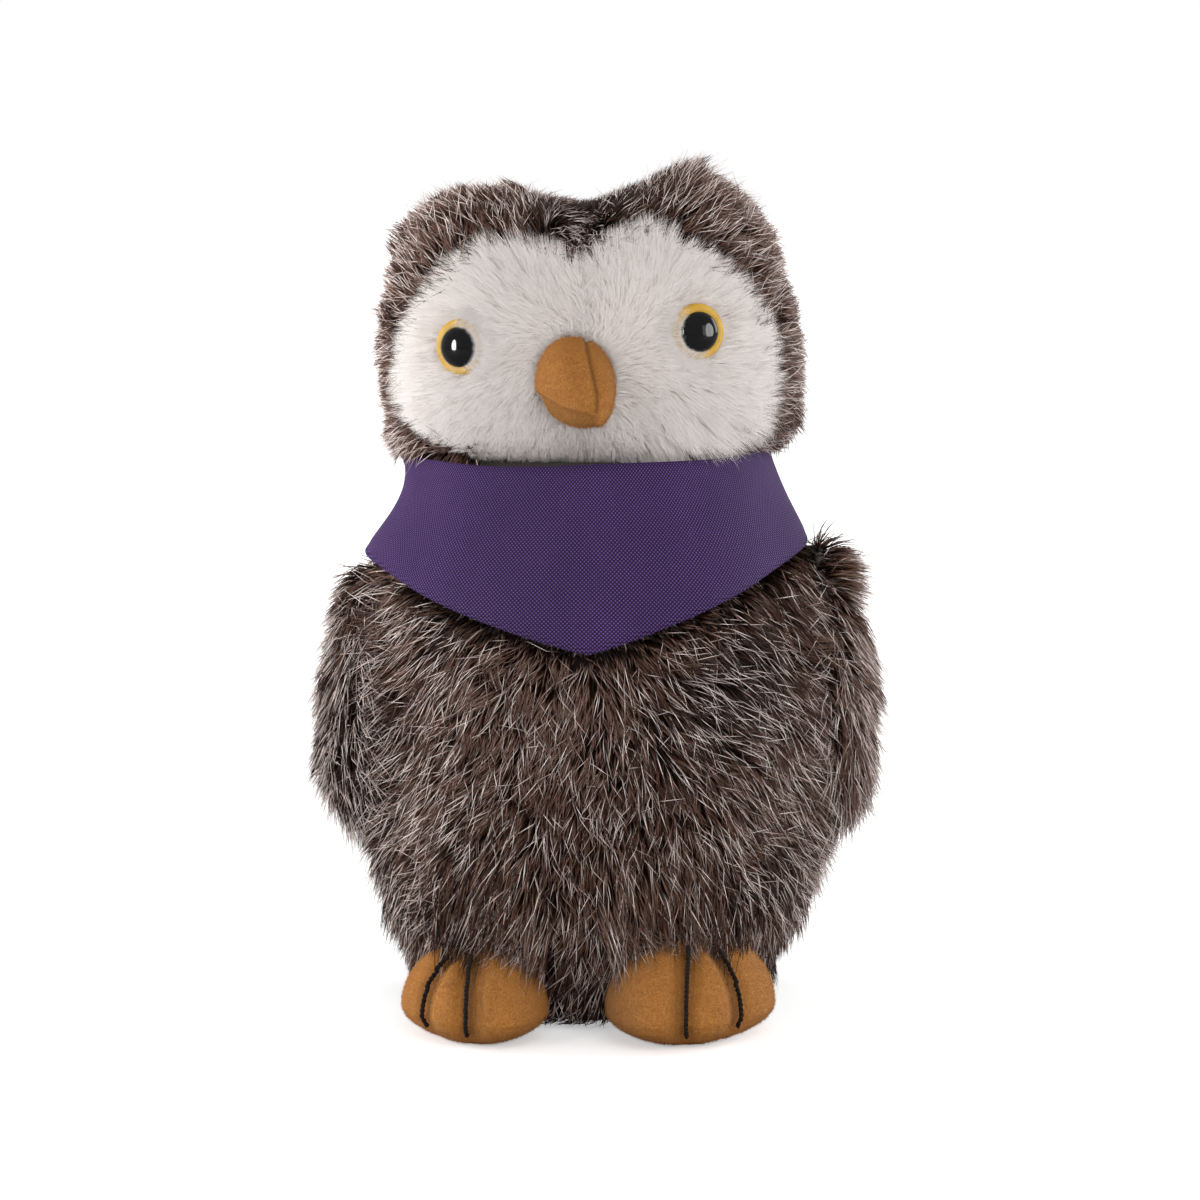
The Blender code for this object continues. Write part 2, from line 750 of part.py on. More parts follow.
def toe_thread(name, upper_form, side, crease):
    """A thread laid over the foot's front along one crease."""
    frame = foot_frame(side)
    turn = crease * side
    ahead = Vector((math.sin(turn) * FOOT_HALF_WIDTH, -math.cos(turn) * FOOT_FRONT, 0))
    ahead.y += FOOT_SLANT_SHARE * side * ahead.x
    ahead.normalize()
    start = Vector((0, 0, FOOT_HEIGHT * THREAD_PIVOT_SHARE))
    points = []
    for index in range(THREAD_POINTS):
        share = index / (THREAD_POINTS - 1)
        rise = THREAD_HIGH + (THREAD_LOW - THREAD_HIGH) * share
        aim = frame.to_3x3() @ (ahead * math.cos(rise) + Vector((0, 0, math.sin(rise))))
        point, normal = surface_seat(upper_form, frame @ start, aim.normalized())
        points.append(point + normal * (THREAD_RADIUS + GAP * 2))
    curve = bpy.data.curves.new(name, "CURVE")
    curve.dimensions = "3D"
    curve.bevel_depth = THREAD_RADIUS
    curve.bevel_resolution = 1
    curve.use_fill_caps = True
    spline = curve.splines.new("POLY")
    spline.points.add(len(points) - 1)
    for knot, point in zip(spline.points, points):
        knot.co = (*point, 1)
    curve.materials.append(DARK_THREAD)
    obj = bpy.data.objects.new(name, curve)
    OWL.objects.link(obj)


def make_foot(side, word, body_clear):
    frame = foot_frame(side)
    reach = BODY_RADIUS + FOOT_FRONT + OVERRUN
    below = box_cutter(
        "below_foot_" + word, (-reach, -reach, -reach), (reach, reach, FOOT_SOLE_WALL + GAP)
    )
    floor = box_cutter("floor_" + word, (-reach, -reach, -reach), (reach, reach, 0))
    ceiling = box_cutter(
        "sole_top_" + word, (-reach, -reach, FOOT_SOLE_WALL), (reach, reach, reach)
    )

    cage = foot_cage(side)
    open_pole(cage, lowest=True)
    cage.transform(frame)
    upper = add_object("foot_upper_" + word, cage, OWL, TAN_VELOUR)
    subdivide(upper)
    thicken(upper, FOOT_WALL)
    boolean(upper, body_clear)
    boolean(upper, below)

    cage = foot_cage(side)
    cage.transform(frame)
    form_cage = cage.copy()
    sole = add_object("foot_sole_" + word, cage, OWL, TAN_VELOUR)
    subdivide(sole)
    boolean(sole, ceiling)
    boolean(sole, floor)
    boolean(sole, body_clear)

    form = add_cutter("foot_form_" + word, form_cage)
    subdivide(form)

    core = foot_cage(side)
    core.transform(frame)
    stuffing = add_object("foot_stuffing_" + word, core, OWL, STUFFING)
    subdivide(stuffing)
    shift_surface(stuffing, -(FOOT_WALL + GAP))
    boolean(stuffing, below)
    boolean(stuffing, body_clear)

    outer_crease = TOE_STEPS * math.tau / FOOT_SEGMENTS
    toe_thread("toe_thread_" + word + "_inner", form, side, 0)
    toe_thread("toe_thread_" + word + "_outer", form, side, outer_crease)


def bandana_drop(turn):
    """How far the cloth comes down at an angle from the front: a point there, less behind.

    It hangs a little lower at the owl's right side than at its left.
    """
    across = abs(math.sin(turn))
    slant = BANDANA_SLANT * math.sin(turn)
    if abs(turn) < math.pi / 2:
        rise = (BANDANA_FRONT_DROP - BANDANA_SIDE_DROP) * across**BANDANA_BIB_POWER
        return BANDANA_FRONT_DROP - rise - slant
    return BANDANA_BACK_DROP + (BANDANA_SIDE_DROP - BANDANA_BACK_DROP) * across - slant


def chest_reach(tree, level):
    """How far the body reaches from the neck's axis at a level, over all of its corners."""
    corners = BODY_SEGMENTS * 2
    start = Vector((-BODY_LEAN, 0, level))
    hits = []
    for index in range(corners):
        turn = math.tau * index / corners
        aim = Vector((math.cos(turn), math.sin(turn), 0))
        hits.append(tree.ray_cast(start, aim)[3])
    return max(hits)


def make_bandana(body_surface):
    """Band and bib as one round sheet on the chest, so that it can turn about the neck."""
    tree = BVHTree.FromObject(body_surface, bpy.context.evaluated_depsgraph_get())
    flats_out = 1 / math.cos(math.pi / BANDANA_SEGMENTS)
    bm = bmesh.new()
    bmesh.ops.create_cone(
        bm, cap_ends=False, segments=BANDANA_SEGMENTS, radius1=1, radius2=1, depth=1
    )
    bmesh.ops.subdivide_edges(
        bm,
        edges=[edge for edge in bm.edges if abs(edge.verts[0].co.z - edge.verts[1].co.z) > 0.5],
        cuts=BANDANA_ROWS - 1,
    )
    top = NECK_Z - BANDANA_GAP - BANDANA_WALL / 2
    for vert in bm.verts:
        turn = math.atan2(vert.co.x, -vert.co.y)
        fall = 1 / 2 - vert.co.z
        level = top - bandana_drop(turn) * fall
        aim = Vector((math.sin(turn), -math.cos(turn), 0))
        fold = BANDANA_FOLD_DEPTH * (1 - math.cos(turn * BANDANA_FOLDS)) * fall
        vert.co = aim * (chest_reach(tree, level) * flats_out + fold)
        vert.co.x -= BODY_LEAN
        vert.co.z = level
    cloth = add_object("bandana", bm, OWL, PURPLE_KNIT)
    thicken(cloth, BANDANA_WALL, offset=1)

    axis = Vector((-BODY_LEAN, 0, top - BANDANA_BACK_DROP / 2))
    pivot = add_pivot("bandana_pivot", axis)
    seat, _ = surface_seat(cloth, axis, -FRONT)
    outer, _ = surface_seat(cloth, seat - FRONT * BANDANA_WALL / 2, -FRONT)
    knot, knot_clear = make_knot(outer)
    tails = []
    for side, word in ((1, "left"), (-1, "right")):
        tail = make_tail(side, word, outer, tree)
        boolean(tail, knot_clear)
        tails.append(tail)
    hang_on(pivot, cloth, knot, *tails)


def make_knot(seat):
    """The knot, and a cutter a gap larger that lets the ends come right up to it."""
    rows = scaled_rows(
        KNOT_ROW_SHARES, KNOT_HALF_HEIGHT, KNOT_HALF_WIDTH, KNOT_HALF_DEPTH, KNOT_HALF_DEPTH
    )
    bm = ringed_cage(rows, KNOT_SEGMENTS)
    centre = seat + Vector((0, KNOT_HALF_DEPTH + GAP, 0))
    bmesh.ops.translate(bm, verts=bm.verts, vec=centre)
    clear = add_cutter("knot_clear", bm.copy())
    subdivide(clear)
    shift_surface(clear, GAP)
    knot = add_object("bandana_knot", bm, OWL, PURPLE_KNIT)
    subdivide(knot)
    return knot, clear


def make_tail(side, word, seat, tree):
    """A short free end that hangs out of the knot over the back, widening to a slanted cut."""
    bm = bmesh.new()
    bmesh.ops.create_grid(bm, x_segments=2, y_segments=TAIL_ROWS, size=1)
    for vert in bm.verts:
        down = (1 - vert.co.y) / 2
        half = TAIL_WIDTH / 2 * (TAIL_WAIST_SHARE + (1 - TAIL_WAIST_SHARE) * math.sqrt(down))
        slant = vert.co.x * side * TAIL_POINT_SHARE * half * down
        vert.co = Vector((vert.co.x * half, 0, -down * TAIL_LENGTH - slant))
    bm.transform(Matrix.Rotation(-side * TAIL_SPREAD, 4, "Y"))
    start = Vector((side * KNOT_HALF_WIDTH / 2, 0, -KNOT_HALF_HEIGHT * TAIL_START_SHARE))
    bmesh.ops.translate(bm, verts=bm.verts, vec=seat + start)
    lift = BANDANA_WALL + BANDANA_FOLD_DEPTH * 2 + TAIL_WALL / 2 + GAP
    for vert in bm.verts:
        reach = chest_reach(tree, vert.co.z) / math.cos(math.pi / BANDANA_SEGMENTS) + lift
        curl = TAIL_CURL * (1 - math.cos(vert.co.z / TAIL_LENGTH * math.tau)) / 2
        vert.co.y = math.sqrt((reach + curl) ** 2 - (vert.co.x + BODY_LEAN) ** 2)
    tail = add_object("bandana_tail_" + word, bm, OWL, PURPLE_KNIT)
    thicken(tail, TAIL_WALL, offset=0)
    return tail


clear_scene()
OWL = new_collection("plush_owl")
CUTTERS = new_collection("cutters")

BROWN_PLUSH = make_material("brown_plush", (0.105, 0.075, 0.062), 0.85)
WHITE_PLUSH = make_material("white_plush", (0.78, 0.75, 0.72), 0.9)
BASE_FELT = make_material("base_felt", (0.060, 0.042, 0.034), 0.9)
WING_LINING = make_material("wing_lining", (0.085, 0.060, 0.050), 0.88)
TAN_VELOUR = make_material("tan_velour", (0.42, 0.20, 0.075), 0.85)
PURPLE_KNIT = make_material("purple_knit", (0.072, 0.040, 0.135), 0.8)
DARK_THREAD = make_material("dark_thread", (0.016, 0.011, 0.010), 0.6)
AMBER_PLASTIC = make_material("amber_plastic", (0.75, 0.46, 0.045), 0.2)
BLACK_PLASTIC = make_material("black_plastic", (0.004, 0.004, 0.005), 0.08)
WASHER_PLASTIC = make_material("washer_plastic", (0.75, 0.75, 0.72), 0.4)
STUFFING = make_material("stuffing", (0.85, 0.85, 0.84), 0.95)
POUCH_COTTON = make_material("pouch_cotton", (0.62, 0.58, 0.50), 0.9)

make_body()
body_clear = body_form("body_clear", GAP)
lining_surface = body_form("lining_surface", WING_LINING_WALL)
lining_clear = body_form("lining_clear", WING_LINING_WALL + GAP)
bandana_bed = body_form("bandana_bed", BANDANA_GAP)

crown, panels, head_stuffing = make_head()
face_surface = head_form("face_surface", GAP)
head_outside = head_form("head_outside", 0)
head_pieces = [crown, head_stuffing, *panels.values()]
for side, word in ((1, "left"), (-1, "right")):
    head_pieces += make_eye(head_outside, side, word, panels[side], head_stuffing)
head_pieces += make_beak(head_outside, face_surface)
hang_on(add_pivot("head_pivot", (-BODY_LEAN, 0, NECK_Z)), *head_pieces)

for side, word in ((1, "left"), (-1, "right")):
    make_wing(side, word, bandana_bed, body_clear, lining_surface, lining_clear)
    make_foot(side, word, body_clear)
make_bandana(bandana_bed)
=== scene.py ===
# %% [markdown]
# # A plush owl with a bandana
# A stuffed owl is a few bags of cloth, turned right side out and filled with fibre. Most of what
# the eye sees is pile: long brown hair on the body, short white pile on the face, and almost none
# on the beak and feet. This lesson first makes the bags, then plants the pile on them.
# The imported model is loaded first. It gives every piece its place and its size.

# %% Load the frame
import json
import math

import bmesh
import bpy
import numpy as np
from mathutils import Matrix, Vector
from mathutils.bvhtree import BVHTree
from mathutils.kdtree import KDTree


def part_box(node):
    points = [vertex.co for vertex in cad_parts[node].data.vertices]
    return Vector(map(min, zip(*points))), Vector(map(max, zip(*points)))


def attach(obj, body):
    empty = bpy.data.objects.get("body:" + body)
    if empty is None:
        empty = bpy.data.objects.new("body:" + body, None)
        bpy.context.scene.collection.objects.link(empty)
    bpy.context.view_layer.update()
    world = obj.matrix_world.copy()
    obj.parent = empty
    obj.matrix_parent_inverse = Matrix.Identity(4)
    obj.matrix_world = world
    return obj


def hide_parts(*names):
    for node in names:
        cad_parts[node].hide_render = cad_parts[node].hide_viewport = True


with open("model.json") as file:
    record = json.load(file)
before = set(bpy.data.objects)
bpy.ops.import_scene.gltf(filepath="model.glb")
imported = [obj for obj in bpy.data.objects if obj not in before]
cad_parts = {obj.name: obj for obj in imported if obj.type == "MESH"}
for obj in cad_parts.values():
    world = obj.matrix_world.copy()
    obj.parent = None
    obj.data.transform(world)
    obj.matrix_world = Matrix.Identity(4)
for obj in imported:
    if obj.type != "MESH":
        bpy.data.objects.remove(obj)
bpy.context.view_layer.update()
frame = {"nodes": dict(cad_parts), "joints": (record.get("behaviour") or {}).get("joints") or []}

MM = 0.001

# %% [markdown]
# ## Camera
# The photograph was taken with a long lens, a little above the owl and straight in front of it.
# A long lens keeps the head and the feet at nearly one scale.

# %% Camera
AIM = Vector((0, 0, 86.5 * MM))
ELEVATION = math.radians(7)
LENS, SENSOR = 180, 36
PIXEL = 0.214 * MM
FRAME_PIXELS = 1200


def placed(name, data):
    """A new object in the scene, at the origin."""
    made = bpy.data.objects.new(name, data)
    bpy.context.scene.collection.objects.link(made)
    return made


lens = bpy.data.cameras.new("camera")
lens.lens, lens.sensor_width = LENS, SENSOR
camera = placed("camera", lens)
back = Vector((0, -math.cos(ELEVATION), math.sin(ELEVATION)))
camera.location = AIM + back * (PIXEL * FRAME_PIXELS * LENS / SENSOR)
camera.rotation_euler = back.to_track_quat("Z", "Y").to_euler()
bpy.context.scene.camera = camera
bpy.context.scene.view_settings.view_transform = "Standard"
print("camera stands", round((camera.location - AIM).length, 3), "m away")

# %% [markdown]
# ## Small tools for materials
# A colour is picked on a screen in sRGB, but light is added up in linear values, so one function
# turns each hex colour into linear numbers. A second one adds a node with its settings and links.


# %% Material tools
def linear(hex_colour):
    """A hex sRGB colour as linear red, green, blue and alpha."""
    parts = [int(hex_colour[i : i + 2], 16) / 255 for i in (1, 3, 5)]
    return [c / 12.92 if c <= 0.04045 else ((c + 0.055) / 1.055) ** 2.4 for c in parts] + [1]


def add_node(tree, kind, inputs=None, stops=(), **settings):
    """Adds a node. An input takes a value, or a pair of a node and one of its outputs. The stops
    of a colour ramp are pairs of a place and a hex colour."""
    made = tree.nodes.new("ShaderNode" + kind)
    for key, value in settings.items():
        setattr(made, key, value)
    for key, value in (inputs or {}).items():
        if isinstance(value, tuple) and isinstance(value[0], bpy.types.Node):
            tree.links.new(value[0].outputs[value[1]], made.inputs[key])
        else:
            made.inputs[key].default_value = value
    if stops:
        elements = made.color_ramp.elements
        while len(elements) < len(stops):
            elements.new(1)
        for element, (place, colour) in zip(elements, stops):
            element.position, element.color = place, linear(colour)
    return made


def cloth_material(name, roughness, sheen=0.0, sheen_tint="#ffffff"):
    """A new material with the shader values that all cloth and fibre here share."""
    made = bpy.data.materials.new(name)
    made.use_nodes = True
    shader = made.node_tree.nodes["Principled BSDF"]
    shader.inputs["Roughness"].default_value = roughness
    shader.inputs["Sheen Weight"].default_value = sheen
    shader.inputs["Sheen Roughness"].default_value = 0.45
    shader.inputs["Sheen Tint"].default_value = linear(sheen_tint)
    shader.inputs["IOR"].default_value = 1.5
    return made, made.node_tree, shader


# %% [markdown]
# ## Fibre materials
# Plush fibre is dyed acrylic or polyester. A long brown hair is dark at its root, warmer along
# its length, and on a quarter or more of the hairs the tip is left a silvery grey, which gives
# the frosted look. The colour is drawn on a map that every hair shares: across it the tones
# differ from hair to hair, and up it the colour runs from root to tip.


# %% Fibre materials
FIBRE_MAP = "OFBake"


def fibre_material(name, roots, middles, tips, roughness=0.55, rise=(0.05, 0.45), turn=(0.5, 0.82)):
    """Colours by the hair's tone across the map, and by the way along the hair up it."""
    made, tree, shader = cloth_material(name, roughness)
    shader.inputs["Specular IOR Level"].default_value = 0.12
    place = add_node(tree, "UVMap", uv_map=FIBRE_MAP)
    axes = add_node(tree, "SeparateXYZ", {"Vector": (place, "UV")})
    tone, along = (axes, "X"), (axes, "Y")
    low = add_node(
        tree, "MapRange", {"Value": along, "From Min": rise[0], "From Max": rise[1]},
        interpolation_type="SMOOTHSTEP",
    )
    high = add_node(
        tree, "MapRange", {"Value": along, "From Min": turn[0], "From Max": turn[1]},
        interpolation_type="SMOOTHSTEP",
    )
    root, middle, tip = (
        add_node(tree, "ValToRGB", {"Fac": tone}, stops) for stops in (roots, middles, tips)
    )
    shaft = add_node(
        tree, "Mix",
        {0: (low, "Result"), 6: (root, "Color"), 7: (middle, "Color")}, data_type="RGBA",
    )
    whole = add_node(tree, "Mix", {0: (high, "Result"), 7: (tip, "Color")}, data_type="RGBA")
    tree.links.new(shaft.outputs[2], whole.inputs[6])
    tree.links.new(whole.outputs[2], shader.inputs["Base Color"])
    return made


# Dark roots and silver tips: the frosted look of the coat
brown_hair = fibre_material(
    "brown_acrylic_hair",
    [(0, "#0f0805"), (0.5, "#170d08"), (1, "#130b08")],
    [(0, "#180f0b"), (0.25, "#26170f"), (0.47, "#3a2319"), (0.52, "#33231d"), (1, "#5f4b43")],
    [(0, "#261812"), (0.25, "#39241b"), (0.47, "#5b3c2d"), (0.52, "#b19a92"), (1, "#f9ede7")],
    rise=(0.0, 0.50), turn=(0.36, 0.74),
)
# Plain soft brown on the sides of the wings that lie against the body
brown_down = fibre_material(
    "brown_acrylic_down",
    [(0, "#120c09"), (1, "#1b120e")],
    [(0, "#261b15"), (0.5, "#35261e"), (1, "#413026")],
    [(0, "#372a22"), (0.6, "#4a3a2f"), (1, "#665447")],
)
# Warm white that greys a little towards the roots, a painted shade deep in the pile, so that the tufts can
# be told apart
white_pile = fibre_material(
    "white_acrylic_pile",
    [(0, "#d8cec8"), (1, "#e4dbd6")],
    [(0, "#ebe3de"), (1, "#f0e9e5")],
    [(0, "#eee6e1"), (0.7, "#f3ece8"), (1, "#f9f4f1")],
    roughness=0.6,
)
print("fibre materials:", brown_hair.name, brown_down.name, white_pile.name)

# %% [markdown]
# ## The bags under the pile
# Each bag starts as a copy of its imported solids. A voxel remesh joins cover and filling into one
# closed skin, and a few rounds of smoothing take the corners off. The skin is then drawn in, because
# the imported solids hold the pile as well.


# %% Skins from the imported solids
def from_bmesh(name, bm):
    """A new object with the mesh that a bmesh holds."""
    mesh = bpy.data.meshes.new(name)
    bm.to_mesh(mesh)
    bm.free()
    return placed(name, mesh)


def copied(name, nodes):
    """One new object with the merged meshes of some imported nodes."""
    bm = bmesh.new()
    for node in nodes:
        bm.from_mesh(frame["nodes"][node].data)
    bmesh.ops.remove_doubles(bm, verts=bm.verts, dist=0.005 * MM)
    return from_bmesh(name, bm)


def settled(obj):
    """Gives the object the mesh that its modifiers make, and removes them."""
    bpy.context.view_layer.update()
    shape = obj.evaluated_get(bpy.context.evaluated_depsgraph_get())
    mesh = bpy.data.meshes.new_from_object(shape)
    obj.modifiers.clear()
    obj.data = mesh
    mesh.name = obj.name
    mesh.shade_smooth()
    return obj


def remeshed(obj, voxel, rounds=4):
    """Voxel remesh at a real size, then smoothing."""
    remesh = obj.modifiers.new("Voxels", "REMESH")
    remesh.mode, remesh.voxel_size = "VOXEL", voxel
    smooth = obj.modifiers.new("Smooth", "SMOOTH")
    smooth.factor, smooth.iterations = 0.5, rounds
    return settled(obj)


def points_of(obj):
    """A mesh's points as an array."""
    flat = np.empty(len(obj.data.vertices) * 3, np.float32)
    obj.data.vertices.foreach_get("co", flat)
    return flat.reshape(-1, 3).astype(float)


def moved_points(obj, change):
    """Runs a function on the array of a mesh's points."""
    points = change(points_of(obj))
    obj.data.vertices.foreach_set("co", points.astype(np.float32).ravel())
    obj.data.update()
    return obj


def eased(value, low, high):
    """Zero below low, one above high, and a smooth step between them."""
    share = np.clip((value - low) / (high - low), 0, 1)
    return share * share * (3 - 2 * share)


BODY_INSET, HEAD_INSET = 0.090, 0.085


def hill(value, middle, width):
    """A smooth hill of height one."""
    return np.exp(-(((value - middle) / width) ** 2))


def drawn_in_body(points):
    """Narrows the body about its axis, and tucks it in above the base panel's rim."""
    share = 1 - BODY_INSET * eased(points[:, 2], 1 * MM, 16 * MM)
    points[:, :2] *= share[:, None]
    tuck = np.where(points[:, 0] > 0, 4.8, 1.2) * MM * hill(points[:, 2], 12 * MM, 11 * MM)
    points[:, 0] -= tuck * np.clip(points[:, 0] / (38 * MM), -1, 1)
    points[:, 2] = np.maximum(points[:, 2], 1.5 * MM)
    return points


body_skin = remeshed(
    copied("body_skin", ["body_cover", "body_stuffing", "pellet_pouch", "base_panel"]), 2 * MM
)
moved_points(body_skin, drawn_in_body)

head_frame = (
    Matrix.Translation((-0.7 * MM, 0, 119.5 * MM))
    @ Matrix.Rotation(math.radians(-3.6), 4, "Z")
    @ Matrix.Rotation(math.radians(-3.9), 4, "Y")
)
HEAD_MIDDLE = np.array(head_frame @ Vector((0, 0, 24 * MM)))


def drawn_in_head(points):
    """Narrows the head about its middle and gives its top the photograph's line."""
    out = points - HEAD_MIDDLE
    low = eased(points[:, 2], 119.5 * MM, 128 * MM)
    out[:, :2] *= 1 - HEAD_INSET
    out[:, 2] *= 1 - HEAD_INSET * low
    out[:, 0] *= 1 - 0.045 * hill(out[:, 2], 13 * MM, 9 * MM)
    across = out[:, 0] / MM
    lift = 0.6 * hill(across, 20, 8) - 3.4 * hill(across, -2, 8) - 1.2 * hill(across, 9, 6)
    lift -= 2.0 * eased(-across, 27, 42) + 4.6 * eased(across, 21, 38)
    out[:, 0] += 1.8 * MM * hill(out[:, 2], -19 * MM, 6 * MM) * eased(across, 15, 35)
    out[:, 2] += lift * MM * eased(out[:, 2], 12 * MM, 30 * MM)
    return HEAD_MIDDLE + out


HEAD_NODES = ["crown_cover", "face_panel_left", "face_panel_right", "head_stuffing"]
head_skin = remeshed(copied("head_skin", HEAD_NODES), 2 * MM)
moved_points(head_skin, drawn_in_head)

wing_skins = {}
for side, word in ((1, "left"), (-1, "right")):
    nodes = [f"wing_cover_{word}", f"wing_lining_{word}"]
    skin = remeshed(copied(f"wing_skin_{word}", nodes), 1.5 * MM, 3)
    low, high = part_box(nodes[1])
    inner = low.x + 4 * MM if side > 0 else high.x - 4 * MM
    middle = np.array((inner, (low.y + high.y) / 2, (low.z + high.z) / 2))

    def drawn_in_wing(points):
        """Flattens the wing towards its inner side and shapes its shoulder."""
        points = middle + (points - middle) * (0.72, 0.93, 0.95)
        thin = np.clip((points[:, 0] - inner) * side / (6 * MM), 0, 1)
        shoulder = eased(points[:, 2], 78 * MM, 90 * MM) * (-0.8 if side > 0 else 0.4)
        narrow = 1.2 * eased(points[:, 2], 48 * MM, 62 * MM) - shoulder
        points[:, 0] -= side * narrow * MM * thin
        points[:, 2] += (4.2 if side > 0 else 0.4) * MM * eased(points[:, 2], 78 * MM, 94 * MM)
        return points

    moved_points(skin, drawn_in_wing)
    wing_skins[word] = skin
print("skins:", len(body_skin.data.polygons), "and", len(head_skin.data.polygons), "faces")

# %% [markdown]
# The skins are hardly seen, but they must be dark between the hairs. A knitted backing has fine
# rows. They are drawn six times too wide here, or they would be too fine to see.


# %% Backing cloth of the plush
def backing_material(name, dark, light, row_mm):
    """Knitted backing: even rows with an uneven dye."""
    made, tree, shader = cloth_material(name, 0.9)
    place = add_node(tree, "TexCoord")
    rows = add_node(
        tree, "TexWave",
        {"Vector": (place, "Object"), "Scale": 1 / (row_mm * MM) / 20, "Distortion": 0.6},
        bands_direction="Z",
    )
    dye = add_node(tree, "TexNoise", {"Vector": (place, "Object"), "Scale": 220, "Detail": 3})
    both = add_node(
        tree, "Math", {0: (rows, "Fac"), 1: (dye, "Fac")}, operation="MULTIPLY"
    )
    colour = add_node(tree, "ValToRGB", {"Fac": (both, "Value")}, [(0.1, dark), (0.6, light)])
    tree.links.new(colour.outputs["Color"], shader.inputs["Base Color"])
    bump = add_node(tree, "Bump", {"Height": (rows, "Fac"), "Strength": 0.3, "Distance": 0.1 * MM})
    tree.links.new(bump.outputs["Normal"], shader.inputs["Normal"])
    return made


# Dark depth between the brown hairs, and a warm white one between the white hairs
brown_backing = backing_material("brown_knit_backing", "#1c130f", "#33241c", 0.9)
white_backing = backing_material("white_knit_backing", "#e3dcd6", "#f0ebe6", 0.9)


def dressed(obj, material, slot, body, *nodes, fill=None):
    """Material and body of a finished piece, and the nodes that it stands for. The slot is not used."""
    obj.data.materials.clear()
    obj.data.materials.append(material)
    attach(obj, body)
    if nodes:
        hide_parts(*nodes)
    return obj


dressed(
    body_skin, brown_backing, "brown_plush", "torso",
    "body_cover", "body_stuffing", "pellet_pouch", fill=0.8,
)
for word, skin in wing_skins.items():
    dressed(
        skin, brown_backing, "wing_lining", f"wing_{word}",
        f"wing_cover_{word}", f"wing_lining_{word}", fill=0.4,
    )


# %% [markdown]
# ## Crown and face
# The head's skin is one closed form, but the toy's is sewn from a brown hood and two white halves.
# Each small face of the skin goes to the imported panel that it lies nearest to, and each group
# gets a thin wall of its own.


# %% Split the head's skin at its seams
def node_tree(*names):
    """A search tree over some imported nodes."""
    bm = bmesh.new()
    for name in names:
        bm.from_mesh(frame["nodes"][name].data)
    tree = BVHTree.FromBMesh(bm)
    bm.free()
    return tree


CLOTH_WALL = 1.2 * MM
HEAD_PANELS = ("crown_cover", "face_panel_left", "face_panel_right")
panel_trees = {name: node_tree(name) for name in HEAD_PANELS}


def nearest_panel(point, trees):
    """The name of the panel that is nearest to a place."""
    return min(trees, key=lambda name: trees[name].find_nearest(point)[3])


def split_by_panel(skin, trees, swell):
    """One object for each panel, of the skin's faces that lie nearest to it."""
    polygons = skin.data.polygons
    owners = [nearest_panel(swell(polygon.center), trees) for polygon in polygons]
    pieces = {}
    for name in trees:
        bm = bmesh.new()
        bm.from_mesh(skin.data)
        bm.faces.ensure_lookup_table()
        others = [face for face in bm.faces if owners[face.index] != name]
        bmesh.ops.delete(bm, geom=others, context="FACES")
        piece = from_bmesh(name.replace("panel", "skin").replace("cover", "skin"), bm)
        wall = piece.modifiers.new("Cloth", "SOLIDIFY")
        wall.thickness, wall.offset = CLOTH_WALL, -1
        pieces[name] = settled(piece)
    return pieces


def swelled_head(point):
    """From the drawn-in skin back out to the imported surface."""
    out = np.array(point) - HEAD_MIDDLE
    out[:2] /= 1 - HEAD_INSET
    return Vector(HEAD_MIDDLE + out)


head_pieces = split_by_panel(head_skin, panel_trees, swelled_head)
bpy.data.objects.remove(head_skin)
dressed(
    head_pieces["crown_cover"], brown_backing, "brown_plush", "head", "crown_cover",
    "head_stuffing", fill=0.8,
)
for word in ("left", "right"):
    dressed(
        head_pieces[f"face_panel_{word}"], white_backing, "white_plush", "head",
        f"face_panel_{word}", fill=0.8,
    )
print("head:", {name: len(piece.data.polygons) for name, piece in head_pieces.items()})

# %% [markdown]
# ## Planting hair
# One hair is a closed spike with three sides. It is made once with bmesh and then repeated with array
# sums, because tens of thousands of separate objects would be slow. Each hair has a root on the
# skin, an aim at its root and a place for its tip. Its map gives it one lane, so its tone is its own.


# %% Scatter and comb
def surface_of(obj):
    """Points, triangles and point normals of an object's mesh as arrays."""
    mesh = obj.data
    mesh.calc_loop_triangles()
    normals = np.empty(len(mesh.vertices) * 3, np.float32)
    mesh.vertices.foreach_get("normal", normals)
    tris = np.empty(len(mesh.loop_triangles) * 3, np.int32)
    mesh.loop_triangles.foreach_get("vertices", tris)
    return points_of(obj), tris.reshape(-1, 3), normals.reshape(-1, 3)


def unit(vectors):
    """Each vector at a length of one."""
    return vectors / np.maximum(np.linalg.norm(vectors, axis=1, keepdims=True), 1e-12)


def scattered(obj, per_mm2, rng, keep=None):
    """Random roots on a surface, even by area, with their normals."""
    points, tris, normals = surface_of(obj)
    if keep is not None:
        tris = tris[keep(points[tris].mean(1), unit(normals[tris].mean(1)))]
    a, b, c = points[tris].transpose(1, 0, 2)
    area = np.linalg.norm(np.cross(b - a, c - a), axis=1) / 2
    count = int(area.sum() / MM**2 * per_mm2)
    picked = rng.choice(len(tris), count, p=area / area.sum())
    u, v = rng.random((2, count))
    over = u + v > 1
    u[over], v[over] = 1 - u[over], 1 - v[over]
    weights = np.stack([1 - u - v, u, v], 1)[:, :, None]
    roots = (points[tris[picked]] * weights).sum(1)
    return roots, unit((normals[tris[picked]] * weights).sum(1))


WAVES = np.random.default_rng(7).normal(size=(3, 12, 3))
PHASES = np.random.default_rng(8).random((3, 12)) * math.tau


def drift(points, size, channel=0):
    """A smooth random value of about -1 to 1 that changes over a real distance."""
    turns = points @ (WAVES[channel].T / size) + PHASES[channel]
    return np.sin(turns).sum(1) / 3


def along_skin(vectors, normals):
    """The part of each vector that lies in the surface."""
    return unit(vectors - (vectors * normals).sum(1, keepdims=True) * normals)


